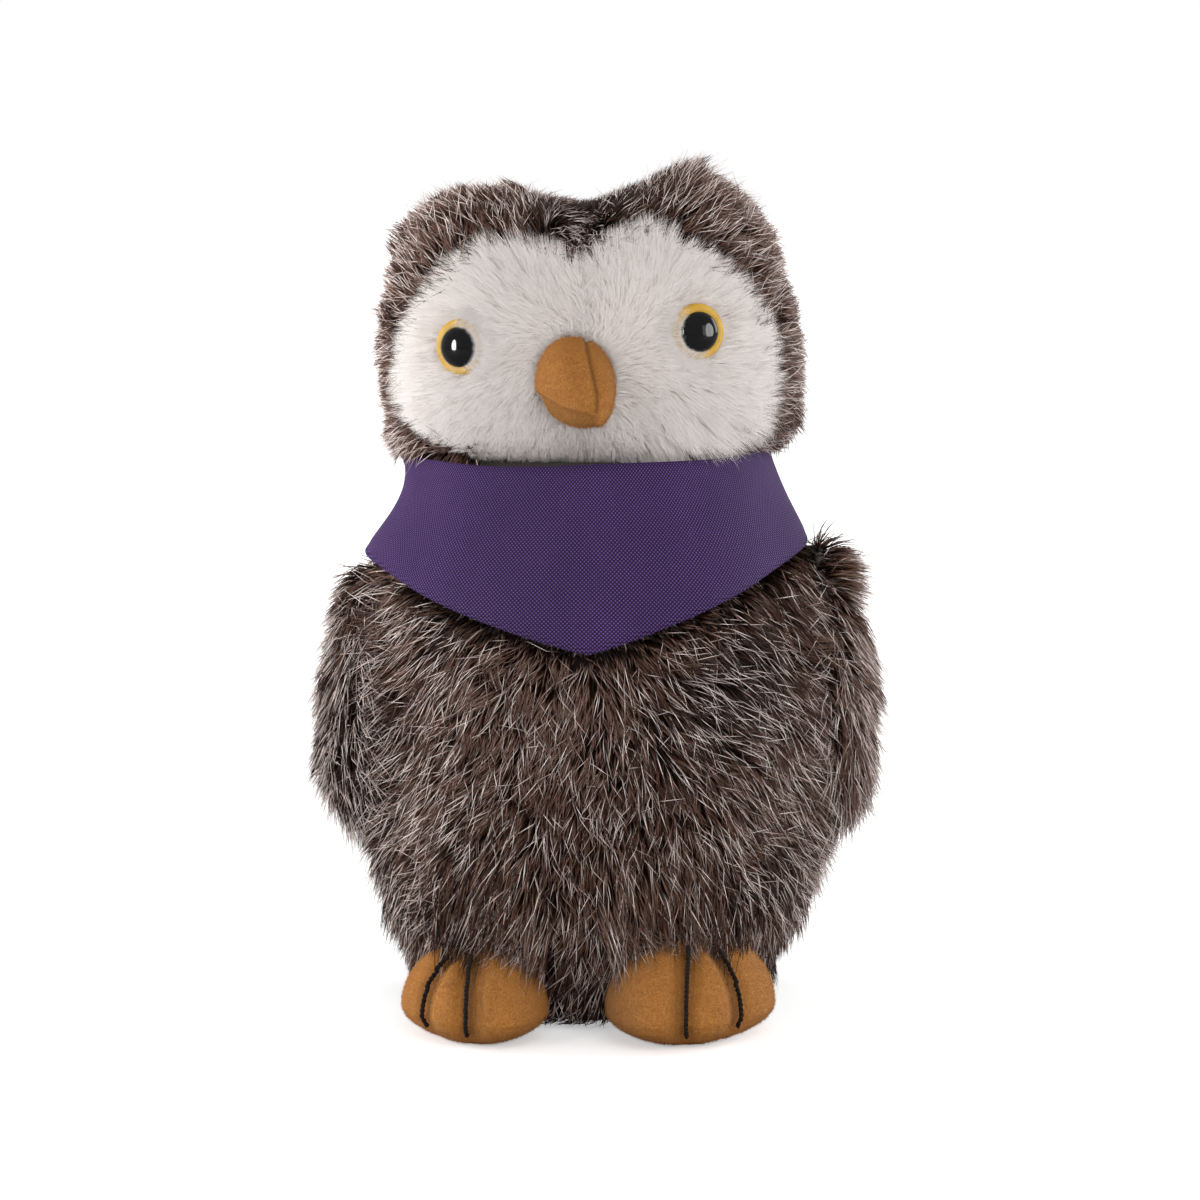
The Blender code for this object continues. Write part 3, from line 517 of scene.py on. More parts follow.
def turned(vectors, normals, angles):
    """Each vector turned in the surface by its own angle."""
    side = np.cross(normals, vectors)
    return vectors * np.cos(angles)[:, None] + side * np.sin(angles)[:, None]


def aimed(flow, normals, lift):
    """Aims that rise from the surface by an angle, in radians."""
    return flow * np.cos(lift)[:, None] + normals * np.sin(lift)[:, None]


def gathered(roots, tips, rng, lock, pull):
    """Tips drawn together in locks, as hair clings. A lock is a number of hairs."""
    count = max(len(roots) // lock, 1)
    leaders = rng.choice(len(roots), count, replace=False)
    tree = KDTree(count)
    for index, leader in enumerate(leaders):
        tree.insert(roots[leader], index)
    tree.balance()
    owner = leaders[[tree.find(root)[1] for root in roots]]
    goal = roots + (tips[owner] - roots[owner])
    goal += (tips[owner] - goal) * 0.6
    return tips + (goal - tips) * pull[:, None]


FLOOR = 0.4 * MM


def combed(roots, normals, flow, rng, length, lift, tip_lift, spread, bend, lock, pull):
    """Aims at the roots and places of the tips, for hairs that lie along a flow."""
    count = len(roots)
    flow = turned(flow, normals, rng.normal(0, 1, count) * spread)
    later = turned(flow, normals, rng.normal(0, 1, count) * bend)
    first = aimed(flow, normals, lift + rng.normal(0, 0.13, count))
    last = aimed(later, normals, tip_lift + rng.normal(0, 0.13, count))
    tips = roots + (first + last) / 2 * length[:, None]
    tips = gathered(roots, tips, rng, lock, pull * rng.random(count) ** 0.5)
    tips[:, 2] = np.maximum(tips[:, 2], FLOOR + rng.random(count) * 1.5 * MM)
    return first, tips


# %% Plant
def hair_template(cuts, waist):
    """One closed spike as points, faces, and a place on the hair's lane for each corner."""
    bm = bmesh.new()
    bmesh.ops.create_cone(bm, cap_ends=True, segments=3, radius1=1, radius2=0, depth=1)
    bmesh.ops.translate(bm, verts=bm.verts, vec=(0, 0, 0.5))
    for cut in cuts:
        geom = bm.verts[:] + bm.edges[:] + bm.faces[:]
        bmesh.ops.bisect_plane(bm, geom=geom, plane_co=(0, 0, cut), plane_no=(0, 0, 1))
    bmesh.ops.recalc_face_normals(bm, faces=bm.faces)
    for vert in bm.verts:
        across = math.hypot(vert.co.x, vert.co.y)
        if across > 1e-6:
            wide = (1 - (1 - waist) * vert.co.z) / across
            vert.co.x, vert.co.y = vert.co.x * wide, vert.co.y * wide
    points = np.array([vert.co for vert in bm.verts])
    faces = [[vert.index for vert in face.verts] for face in bm.faces]
    bm.free()
    lanes = {3: (0.15, 0.85, 0.5), 4: (0.15, 0.85, 0.85, 0.15)}
    corners = []
    for face in faces:
        ways = [points[index, 2] for index in face]
        low = [way < min(ways) + 1e-6 for way in ways]
        start = next(k for k in range(len(face)) if low[k] and low[(k + 1) % len(face)])
        flat = 0.04 if all(low) else 0
        for k in range(len(face)):
            turn = (k - start) % len(face)
            corners.append((lanes[len(face)][turn], ways[k] + flat * (turn == 2)))
    return points, faces, np.array(corners)


TONES = 24


def planted(name, roots, aims, tips, radii, tones, cuts=(0.58,), waist=0.85, shading=None):
    """A mesh of hairs from roots to tips, each leaving along its root's aim. Where the skin's
    normals are given, the hairs are partly shaded by them, as light soaks through pale pile."""
    points, faces, lane_map = hair_template(cuts, waist)
    count, each = len(roots), len(points)
    reach = tips - roots
    elbow = roots + aims * np.linalg.norm(reach, axis=1, keepdims=True) * 0.5
    t = points[None, :, 2:]
    bow = roots[:, None] * (1 - t) ** 2 + elbow[:, None] * 2 * t * (1 - t) + tips[:, None] * t**2
    side = unit(np.cross(reach, aims + reach[:, [1, 2, 0]] * 0.01))[:, None]
    across = unit(np.cross(reach, side[:, 0]))[:, None]
    ring = side * points[None, :, :1] + across * points[None, :, 1:2]
    place = bow + ring * radii[:, None, None]

    sizes = np.array([len(face) for face in faces])
    corners = np.concatenate(faces)
    loops = (corners[None] + (np.arange(count) * each)[:, None]).ravel()
    starts = np.cumsum(sizes) - sizes
    starts = (starts[None] + (np.arange(count) * len(corners))[:, None]).ravel()
    mesh = bpy.data.meshes.new(name)
    mesh.vertices.add(count * each)
    mesh.loops.add(len(loops))
    mesh.polygons.add(len(starts))
    mesh.vertices.foreach_set("co", place.astype(np.float32).ravel())
    mesh.loops.foreach_set("vertex_index", loops.astype(np.int32))
    mesh.polygons.foreach_set("loop_start", starts.astype(np.int32))
    mesh.update(calc_edges=True)

    lane = np.floor(np.clip(tones, 0, 0.999) * TONES)
    u = (lane[:, None] + lane_map[None, :, 0]) / TONES
    v = np.broadcast_to(0.01 + 0.98 * lane_map[None, :, 1], u.shape)
    layer = mesh.uv_layers.new(name=FIBRE_MAP)
    layer.uv.foreach_set("vector", np.stack([u, v], 2).astype(np.float32).ravel())
    mesh.shade_smooth()
    if shading is not None:
        soft = unit((shading[:, None] * 0.8 + ring).reshape(-1, 3))
        mesh.normals_split_custom_set_from_vertices(soft.tolist())
    return placed(name, mesh)


def hair_piece(name, body, slot, material, here, strands, **shape):
    """Plants the chosen hairs, gives them their material and lets them ride on a body."""
    piece = planted(name, *(values[here] for values in strands), **shape)
    print(f"{name}: {int(here.sum())} hairs")
    return dressed(piece, material, slot, body)


# %% [markdown]
# ## The brown coat
# The coat has two kinds of hair. A soft brown undercoat hides the backing and clings together in locks.
# Longer silvery guard hairs lie over it and cross each other, because nobody has brushed them. Both are
# planted in one go and differ only in length, tone and how far they stray.


# %% The coat's two kinds of hair
DOWN_LENGTH, GUARD_LENGTH = 8.5 * MM, 13.5 * MM
DOWN_RADIUS, GUARD_RADIUS = 0.165 * MM, 0.115 * MM


def coat(roots, normals, flow, rng, guards, size=1.0, rise=0.0, pressed=None):
    """Undercoat and guard hairs together, as arrays for hair_piece."""
    count = len(roots)
    guard = rng.random(count) < guards * (1 + 0.2 * drift(roots, 9 * MM, 2))
    if pressed is None:
        pressed = np.zeros(count, bool)
    length = np.where(guard, GUARD_LENGTH, DOWN_LENGTH) * size * rng.uniform(0.68, 1.15, count)
    length = np.where(pressed, 3.6 * MM, length)
    lift = np.where(pressed, 0.10, np.where(guard, 0.76, 0.98) + rise)
    tip_lift = np.where(pressed, 0.0, np.where(guard, 0.20, 0.42) + rise)
    spread = np.where(guard, 0.42, 0.28)
    spread = np.where(rng.random(count) < 0.15, spread * 2.2, spread)
    bend = np.where(guard, 0.42, 0.30)
    pull = np.where(guard, 0.40, 0.70)
    first, tips = combed(
        roots, normals, flow, rng, length, lift, tip_lift, spread, bend, 55, pull
    )
    shade = np.clip(rng.random(count) + drift(roots, 12 * MM, 1) * 0.45, 0, 1) * 0.48
    tones = np.where(guard, 0.51 + rng.random(count) * 0.48, shade)
    radii = np.where(guard, GUARD_RADIUS, DOWN_RADIUS) * rng.uniform(0.75, 1.2, count)
    return roots, first, tips, radii, tones


# %% [markdown]
# ## Fur of the body
# The pile runs down from the chest, and out to the sides under the shoulders. Under the bandana and
# the wings it is pressed flat and short, so that the skin isn't bare when they move. Under the feet it is
# left out.


# %% Body fur
DOWN = np.array((0.0, 0.0, -1.0))
bandana_tree = node_tree("bandana")
wing_trees = [node_tree(f"wing_lining_{word}") for word in ("left", "right")]
feet_tree = node_tree("foot_upper_left", "foot_sole_left", "foot_upper_right", "foot_sole_right")


def covered(roots, normals, tree, reach):
    """Whether a line out of the skin meets the tree's pieces within the reach."""
    starts = roots + normals * 0.2 * MM
    return np.array([tree.ray_cast(r, n, reach)[0] is not None for r, n in zip(starts, normals)])


def distances(points, tree):
    """The distance of each point from a tree's pieces."""
    return np.array([tree.find_nearest(point)[3] for point in points])


def pushed_out(points, tree, near, clear):
    """Points inside or close to a closed form, moved to just off its surface."""
    for index, point in enumerate(points):
        place, normal, _, gap = tree.find_nearest(point, near)
        if place is not None and (Vector(point) - place).dot(normal) < clear:
            points[index] = place + normal * clear
    return points


def body_flow(points, normals):
    """Down, and outwards to both sides, the more so near the shoulders."""
    outward = np.zeros_like(points)
    share = 0.85 + 1.5 * eased(points[:, 2], 58 * MM, 92 * MM)
    share -= 0.7 * (1 - eased(points[:, 2], 5 * MM, 35 * MM))
    outward[:, 0] = points[:, 0] / (46 * MM) * share
    flow = along_skin(outward + DOWN, normals)
    return turned(flow, normals, drift(points, 15 * MM) * 0.36)


rng = np.random.default_rng(21)
roots, normals = scattered(
    body_skin, 2.3, rng, lambda p, n: (p[:, 2] > 3 * MM) & (p[:, 2] < 117.5 * MM)
)
pressed = covered(roots, normals, bandana_tree, 9 * MM)
for tree in wing_trees:
    pressed |= covered(roots, normals, tree, 5.5 * MM)
thinned = (pressed & (rng.random(len(roots)) < 0.5)) | covered(roots, normals, feet_tree, 5 * MM)
roots, normals, pressed = roots[~thinned], normals[~thinned], pressed[~thinned]
low = 1 - eased(roots[:, 2], 4 * MM, 24 * MM)
to_wing = np.min([distances(roots, tree) for tree in wing_trees], axis=0)
beside = (1 - eased(to_wing, 8 * MM, 15 * MM)) * ~pressed * eased(roots[:, 2], 32 * MM, 46 * MM)
flow = body_flow(roots, normals)
flow[:, 0] += np.sign(roots[:, 0]) * beside * 1.2
strands = coat(
    roots, normals, along_skin(flow, normals), rng, 0.23,
    1 - 0.22 * low + 0.42 * beside, -0.15 * low + 0.10 * beside, pressed,
)
aims, tips = strands[1:3]
near_feet = (tips[:, 2] < 30 * MM) & (tips[:, 1] < -20 * MM)
tips[near_feet] = pushed_out(tips[near_feet], feet_tree, 8 * MM, 0.9 * MM)
fringe = eased(roots[:, 2], 15 * MM, 19 * MM) * (1 - eased(roots[:, 2], 20 * MM, 46 * MM))
fringe *= eased(-roots[:, 1], 28 * MM, 32 * MM)
for index in np.flatnonzero(fringe > 0.02):
    x = tips[index][0] + rng.normal(0, 1.2 * MM)
    hit = feet_tree.ray_cast(Vector((x, rng.uniform(-59, -50) * MM, 40 * MM)), Vector(DOWN))[0]
    if hit is not None and hit.z > 9 * MM:
        goal = np.array(hit) + (0, -0.3 * MM, rng.uniform(0.3, 1.6) * MM)
        tips[index] += (goal - tips[index]) * fringe[index]
        aims[index] = unit(aims[index][None] + (0.0, -0.8 * fringe[index], 0.0))[0]
tips[:, 2] = np.maximum(tips[:, 2], FLOOR)


def through_band(strands):
    """Whether a hair meets the bandana, or the place just above it, on its way from root to tip."""
    roots, aims, tips = strands[:3]
    elbows = roots + aims * np.linalg.norm(tips - roots, axis=1, keepdims=True) * 0.5
    middles = (roots + 2 * elbows + tips) / 4
    met = np.zeros(len(roots), bool)
    for starts, ends in ((roots, middles), (middles, tips)):
        for index in np.flatnonzero((ends[:, 2] < 123 * MM) & (ends[:, 2] > 78 * MM)):
            start, way = starts[index], ends[index] - starts[index]
            for lower in (0, 1.6 * MM):
                hit = bandana_tree.ray_cast(start + DOWN * lower, way, float(np.linalg.norm(way)))
                met[index] |= hit[0] is not None
    return met


quarter = np.floor((np.arctan2(roots[:, 0], -roots[:, 1]) / math.tau * 4 + 0.5) % 4)
clear = ~through_band(strands) & ((quarter != 2) | (rng.random(len(roots)) < 0.85))
for index, part in enumerate(("front", "left", "back", "right")):
    hair_piece(
        f"body_fur_{part}", "torso", "brown_plush", brown_hair, (quarter == index) & clear, strands
    )

# %% [markdown]
# ## Fur of the wings
# A wing is a flat bag with the long pile outside, and a shorter one on the side that lies against
# the body. The pile sweeps down and out from the shoulder and turns in under the wing's end. A
# hair that would go through the bandana, also when the wing is lifted, is left out.

# %% Wing fur
def at_limit(strands, name):
    """The hairs as they lie when a joint is at its upper limit."""
    joint = next(joint for joint in frame["joints"] if joint["name"] == name)
    pivot = np.array(joint["pos_m"])
    angle = math.radians(joint["range_deg"][1])
    turn = np.array(Matrix.Rotation(angle, 3, Vector(joint["axis"]))).T
    roots, aims, tips = strands[:3]
    return (roots - pivot) @ turn + pivot, aims @ turn, (tips - pivot) @ turn + pivot


for side, word in ((1, "left"), (-1, "right")):
    rng = np.random.default_rng(31 + side)
    roots, normals = scattered(wing_skins[word], 2.5, rng)
    outside = normals[:, 0] * side > -0.25
    end = 1 - eased(roots[:, 2], 40 * MM, 66 * MM)
    sweep = np.zeros_like(roots) + DOWN
    ahead = eased(-normals[:, 1], 0.1, 0.7)
    top = eased(roots[:, 2], 84 * MM, 94 * MM)
    sweep[:, 0] = side * (0.45 - (0.15 + 0.15 * side) * top - 0.6 * end - 1.5 * ahead)
    sweep[:, 1] = (roots[:, 1] - 2 * MM) / (22 * MM) * 0.55
    flow = along_skin(sweep, normals)
    flow = turned(flow, normals, drift(roots, 12 * MM, 2) * 0.35)
    size = np.where(outside, 0.92 + (0.12 + 0.06 * side) * top + 0.42 * ahead, 0.4)
    rise = np.where(outside, (0.28 + 0.14 * side) * top, -0.35)
    # More silver guard hairs on the right wing than on the left: painted light on the wing that faces the
    # strong side lamp
    strands = coat(roots, normals, flow, rng, 0.38 - 0.06 * side, size, rise)
    clear = ~through_band(strands) & ~through_band(at_limit(strands, f"wing_lift_{word}"))
    hair_piece(
        f"wing_fur_{word}", f"wing_{word}", "brown_plush", brown_hair, outside & clear, strands
    )
    hair_piece(f"wing_pile_{word}", f"wing_{word}", "wing_lining", brown_down, ~outside, strands)

# %% [markdown]
# ## Fur of the crown
# The hood's pile is combed away from the beak: up over the brow, out over the cheeks and down
# behind. Between the brows it falls back into the white. One tuft stands up at the left corner.

# %% Crown fur
BEAK_POINT = np.array(head_frame @ Vector((0, -38 * MM, 19 * MM)))
to_head = head_frame.inverted()


def in_head(points):
    """Places in the head's own axes."""
    return points @ np.array(to_head.to_3x3()).T + np.array(to_head.translation)


def outer(points, normals):
    """Only the side of a cloth that faces away from the head's middle."""
    return ((points - HEAD_MIDDLE) * normals).sum(1) > 0


rng = np.random.default_rng(41)
roots, normals = scattered(head_pieces["crown_cover"], 2.7, rng, outer)
own = in_head(roots)
behind = eased(own[:, 1], -5 * MM, 25 * MM)[:, None]
brow = (hill(own[:, 0], 1 * MM, 7 * MM) * eased(-own[:, 1], -6 * MM, 8 * MM))[:, None]
away = unit(roots - BEAK_POINT)
flow = away * (1 - behind) + DOWN * behind * 1.2
flow = along_skin(flow * (1 - brow) + (DOWN + (0.15, -0.3, 0)) * brow * 1.4, normals)
flow = turned(flow, normals, drift(roots, 12 * MM) * 0.35)
tuft = hill(own[:, 0], 21.5 * MM, 3.5 * MM) * eased(own[:, 2], 42 * MM, 48 * MM)
low_brow = brow[:, 0] * (1 - eased(own[:, 2], 42 * MM, 49 * MM))


def white_corner(own):
    """One at the lower corner of the white on the head's left, where it is fullest."""
    across = eased(own[:, 0], 12 * MM, 20 * MM) * (1 - eased(own[:, 0], 31 * MM, 36 * MM))
    return across * (1 - eased(own[:, 2], 6 * MM, 16 * MM))


size = 0.80 + 0.15 * tuft - 0.50 * white_corner(own) - 0.36 * low_brow
guards = 0.25 + 0.22 * brow[:, 0]
strands = coat(roots, normals, flow, rng, guards, size, 0.20 * tuft - 0.30 * brow[:, 0])
third = np.where(own[:, 1] > 8 * MM, 2, np.where(own[:, 0] > 0, 0, 1))
kept = np.where(third == 2, 0.8, 1 - 0.6 * white_corner(own))
clear = ~through_band(strands) & (rng.random(len(roots)) < kept)
for index, part in enumerate(("left", "right", "back")):
    hair_piece(
        f"crown_fur_{part}", "head", "brown_plush", brown_hair, (third == index) & clear, strands
    )

# %% [markdown]
# Below the face the hood shows as a dark ruff. Its hairs are planted apart, because they must
# stand out far enough to hang over the bandana's upper edge. A hair that would have to go through the
# cloth is left out.

# %% Ruff under the face
BAND_TOP = 118.35 * MM
rng = np.random.default_rng(45)
roots, normals = scattered(
    head_pieces["crown_cover"], 9.0, rng,
    lambda p, n: outer(p, n) & (in_head(p)[:, 2] < 10 * MM) & (p[:, 1] < 12 * MM) & (n[:, 2] > -0.85),
)
flow = along_skin(unit(roots - BEAK_POINT) * 0.9 + DOWN * 0.6, normals)
rightward = 1 - eased(roots[:, 0], -12 * MM, 12 * MM)
strands = coat(roots, normals, flow, rng, 0.22, 0.48 + 0.30 * rightward, 0.15 + 0.20 * rightward)
kept = ~through_band(strands) & (rng.random(len(roots)) < 0.6 + 0.4 * rightward)
hair_piece("ruff_fur", "head", "brown_plush", brown_hair, kept, strands)

# %% [markdown]
# ## White face
# The face has a short dense pile that fans out from the beak and runs over the brown at the
# rim. Beside the beak some hairs lean onto the velour. Between each eye and the beak some hang
# over the eye's inner edge. They are all so fine that straight ones will do.

# %% Face pile
def node_points(name):
    """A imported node's points as an array."""
    return points_of(frame["nodes"][name])


def flat_axis(points):
    """The direction in which a flat form is thinnest, turned to the front."""
    spread, axes = np.linalg.eigh(np.cov((points - points.mean(0)).T))
    axis = axes[:, 0]
    return Vector(axis if axis[1] < 0 else -axis)


EYES = {}
for word in ("left", "right"):
    low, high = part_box(f"eye_ring_{word}")
    EYES[word] = np.array((low + high) / 2)

beak_tree = node_tree("beak_panel_left", "beak_panel_right", "beak_underside")
for side, word in ((1, "left"), (-1, "right")):
    rng = np.random.default_rng(51 + side)
    roots, normals = scattered(head_pieces[f"face_panel_{word}"], 17.4, rng, outer)
    gap = roots - EYES[word]
    from_eye = np.hypot(gap[:, 0], gap[:, 2])
    seen = from_eye > 3.6 * MM
    roots, normals, gap, from_eye = roots[seen], normals[seen], gap[seen], from_eye[seen]
    own = in_head(roots)
    corner = white_corner(own)
    away = unit(roots - BEAK_POINT) + DOWN * corner[:, None] * 1.3
    flow = turned(along_skin(away, normals), normals, drift(roots, 9 * MM, 1) * 0.4)
    out = eased(np.hypot(own[:, 0], own[:, 2] - 19 * MM), 10 * MM, 36 * MM)
    near = 1 - eased(from_eye, 6 * MM, 11 * MM)
    length = (4.4 + 1.8 * out + 0.6 * near + 4.2 * corner) * MM
    over_ruff = (1 - eased(own[:, 2], 3 * MM, 13 * MM)) * (1 - eased(own[:, 0], 0, 16 * MM))
    length *= rng.uniform(0.75, 1.15, len(roots)) * (1 - 0.6 * over_ruff)
    length[from_eye < 5.2 * MM] *= 0.5  # room for the ring above them
    count = np.ones(len(roots))
    first, tips = combed(
        roots, normals, flow, rng, length, 1.15 - 0.3 * corner, 0.70 - 0.3 * corner,
        0.30 * count, 0.20 * count, 110, 0.55 * count,
    )
    to_beak = eased(-np.hypot(own[:, 0], own[:, 2] - 19 * MM), -15 * MM, -9 * MM)
    for index in np.flatnonzero(rng.random(len(roots)) < 0.25 * to_beak):
        ahead = Vector(roots[index] + normals[index] * rng.uniform(3, 6) * MM)
        place, out_of, _, _ = beak_tree.find_nearest(ahead)
        tips[index] = np.array(place + out_of * rng.uniform(0.2, 0.8) * MM)
    axis = np.array(flat_axis(node_points(f"eye_ring_{word}")))
    nose = unit(np.array([[-side, 0.0, -0.15 - 0.35 * side]]))[0]
    chance = eased(gap @ nose / from_eye, 0.1, 0.75) * eased(from_eye, 5.2 * MM, 6.5 * MM)
    hood = np.flatnonzero(rng.random(len(roots)) < chance * (1 - eased(from_eye, 8 * MM, 11 * MM)))
    hood = np.repeat(hood, 5)
    front = ((node_points(f"eye_ring_{word}") - EYES[word]) @ axis).max()
    away = unit(gap - (gap @ axis)[:, None] * axis)[hood]
    reach = np.minimum(from_eye[hood], 8.5 * MM) * rng.uniform(0.38, 0.85, len(hood))
    over = EYES[word] + axis * (front + rng.uniform(0.1, 1.2, (len(hood), 1)) * MM)
    over = over + turned(away, axis[None], rng.normal(0, 0.12, len(hood))) * reach[:, None]
    strands = (
        np.concatenate([roots, roots[hood] + rng.normal(0, 0.15 * MM, (len(hood), 3))]),
        np.concatenate([first, normals[hood]]), np.concatenate([tips, over]),
    )
    total = len(strands[0])
    radii = 0.08 * MM * rng.uniform(0.75, 1.2, total)
    clear = ~through_band(strands)
    hair_piece(
        f"face_pile_{word}", "head", "white_plush", white_pile, clear,
        (*strands, radii, rng.random(total)), cuts=(),
        shading=np.concatenate([normals, normals[hood]])[clear],
    )

# %% [markdown]
# ## Eyes
# A safety eye is a black button with a domed face. Its shank goes through a flat amber ring and
# the cloth. Both are turned shapes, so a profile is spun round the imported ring's own axis.


# %% Eyes
def plastic(name, colour, roughness, specular):
    """Moulded plastic with a faint mottling, as the dye is never quite even."""
    made, tree, shader = cloth_material(name, roughness)
    place = add_node(tree, "TexCoord")
    dye = add_node(tree, "TexNoise", {"Vector": (place, "Object"), "Scale": 300, "Detail": 2})
    tone = add_node(
        tree, "ValToRGB", {"Fac": (dye, "Fac")}, [(0.3, colour[0]), (0.7, colour[1])]
    )
    tree.links.new(tone.outputs["Color"], shader.inputs["Base Color"])
    shader.inputs["Specular IOR Level"].default_value = specular
    return made


# A warm yellow rim, and a black so smooth that it mirrors the lamps
amber_plastic = plastic("amber_abs_ring", ("#b08728", "#caa03c"), 0.45, 0.12)
black_plastic = plastic("black_abs_button", ("#020203", "#040405"), 0.07, 0.16)


def spun(name, profile, centre, axis, steps=72):
    """A profile of radius and height, closed on itself or on the axis, spun all the way round."""
    bm = bmesh.new()
    verts = [bm.verts.new((radius, 0, height)) for radius, height in profile]
    edges = [bm.edges.new(pair) for pair in zip(verts, verts[1:])]
    if profile[0][0] > 0:
        edges.append(bm.edges.new((verts[-1], verts[0])))
    bmesh.ops.spin(
        bm, geom=verts + edges, cent=(0, 0, 0), axis=(0, 0, 1), angle=math.tau, steps=steps,
        use_merge=True,
    )
    bmesh.ops.remove_doubles(bm, verts=bm.verts, dist=0.002 * MM)
    turn = axis.to_track_quat("Z", "Y").to_matrix().to_4x4()
    bmesh.ops.transform(bm, matrix=Matrix.Translation(centre) @ turn, verts=bm.verts)
    bm.normal_update()
    bmesh.ops.recalc_face_normals(bm, faces=bm.faces)
    made = from_bmesh(name, bm)
    made.data.shade_smooth()
    return made


def arc(middle, radii, start, end, steps):
    """Points of a quarter or half turn in a profile, in degrees."""
    angles = np.radians(np.linspace(start, end, steps))
    return [(middle[0] + radii[0] * math.cos(a), middle[1] + radii[1] * math.sin(a)) for a in angles]


RING_RADIUS, HOLE_RADIUS, BUTTON_RADIUS, BUTTON_RISE = 5.9 * MM, 2.3 * MM, 4.2 * MM, 2.0 * MM
for word in ("left", "right"):
    points = node_points(f"eye_ring_{word}")
    axis = flat_axis(points)
    centre = Vector(EYES[word])
    heights = (points - EYES[word]) @ np.array(axis)
    top, bottom = heights.max(), heights.min()
    round_mm = 0.9 * MM
    ring = [(HOLE_RADIUS, top)]
    ring += arc((RING_RADIUS - round_mm, top - round_mm), (round_mm, round_mm), 90, 0, 9)
    ring += arc((RING_RADIUS - round_mm, bottom + round_mm), (round_mm, round_mm), 0, -90, 9)
    ring += [(HOLE_RADIUS, bottom)]
    dressed(
        spun(f"eye_rim_{word}", ring, centre, axis), amber_plastic, "amber_plastic", "head",
        f"eye_ring_{word}",
    )
    button = arc((0, top + 0.1 * MM), (BUTTON_RADIUS, BUTTON_RISE), 90, 0, 24)
    button[0] = (0, button[0][1])
    button += [(BUTTON_RADIUS, top + 0.05 * MM), (2.0 * MM, top + 0.02 * MM)]
    button += [(2.0 * MM, bottom - 6 * MM), (0, bottom - 6 * MM)]
    dressed(
        spun(f"eye_button_{word}", button, centre, axis), black_plastic, "black_plastic", "head",
        f"eye_pupil_{word}",
    )
    print("eye", word, "axis", [round(value, 2) for value in axis])

# %% [markdown]
# ## Velour
# The beak and the feet are velour: a knit with a nap about a millimetre long. From a hand's
# distance it looks like felt. The nap is real hair here too, short and dense, over a mottled cloth.


# %% Velour and its nap
# A dull orange tan that is lighter at its tips, a painted sheen, so that the cloth looks soft
tan_nap = fibre_material(
    "tan_velour_nap",
    [(0, "#815121"), (1, "#885927")],
    [(0, "#9c6630"), (0.5, "#a26c33"), (1, "#a9743b")],
    [(0, "#a77138"), (0.6, "#b07a3f"), (1, "#c08c53")],
    roughness=0.7,
)
# The cloth under the nap is mottled and has broad waves. Its seam attribute mixes in a painted shade: dark
# in the seams and creases, and under the beak
tan_velour, tree, shader = cloth_material("tan_velour_cloth", 0.85, 0.15, "#d8a870")
place = add_node(tree, "TexCoord")
mottle = add_node(tree, "TexNoise", {"Vector": (place, "Object"), "Scale": 2400, "Detail": 2})
rows = add_node(
    tree, "TexWave", {"Vector": (place, "Object"), "Scale": 45, "Distortion": 1.5},
    bands_direction="Z",
)
shader.inputs["Specular IOR Level"].default_value = 0.15
tone = add_node(tree, "ValToRGB", {"Fac": (mottle, "Fac")}, [(0.3, "#875727"), (0.7, "#ac7437")])
# Painted shade, read from the seam attribute: seams, creases and the beak's underside go dark brown
seam = add_node(tree, "Attribute", attribute_name="seam")
painted_shade_mix = {0: (seam, "Fac"), 6: (tone, "Color"), 7: linear("#3f2713")}
dark = add_node(tree, "Mix", painted_shade_mix, data_type="RGBA")
tree.links.new(dark.outputs[2], shader.inputs["Base Color"])
height = add_node(tree, "Math", {0: (mottle, "Fac"), 1: (rows, "Fac")}, operation="ADD")
bump = add_node(tree, "Bump", {"Height": (height, "Value"), "Strength": 0.5, "Distance": 0.15 * MM})
tree.links.new(bump.outputs["Normal"], shader.inputs["Normal"])


CLOTH_SCALE, CLOTH_FRAMES = 20, 20


def puffed(obj, pinned, cap, pressure=4):
    """Fills a bag with air for a moment, pinned where it is sewn, and keeps the shape."""
    before = points_of(obj)
    moved_points(obj, lambda points: points * CLOTH_SCALE)
    group = obj.vertex_groups.new(name="sewn")
    group.add([int(index) for index in np.where(pinned)[0]], 1, "REPLACE")
    cloth = obj.modifiers.new("Cloth", "CLOTH")
    cloth.settings.use_pressure = True
    cloth.settings.uniform_pressure_force = pressure
    cloth.settings.effector_weights.gravity = 0
    cloth.settings.vertex_group_mass = "sewn"
    scene = bpy.context.scene
    for number in range(1, CLOTH_FRAMES + 1):
        scene.frame_set(number)
    settled(obj)
    scene.frame_set(1)
    obj.vertex_groups.clear()
    after = points_of(obj) / CLOTH_SCALE
    step = after - before
    size = np.linalg.norm(step, axis=1, keepdims=True)
    step *= np.minimum(1, cap / np.maximum(size, 1e-9))
    print(f"{obj.name}: swelled by up to {size.max() / MM:.2f} mm, {size.mean() / MM:.2f} mm on average")
    return moved_points(obj, lambda points: before + step)


def painted_shade_marks(obj, marks):
    """Stores a painted shade for each point, mostly by how near it is to a seam, for the material."""
    layer = obj.data.attributes.new("seam", "FLOAT", "POINT")
    layer.data.foreach_set("value", marks.astype(np.float32))


def subdivided(obj):
    """The object with each face cut in four, and smooth."""
    step = obj.modifiers.new("Smooth", "SUBSURF")
    step.levels = step.render_levels = 1
    return settled(obj)


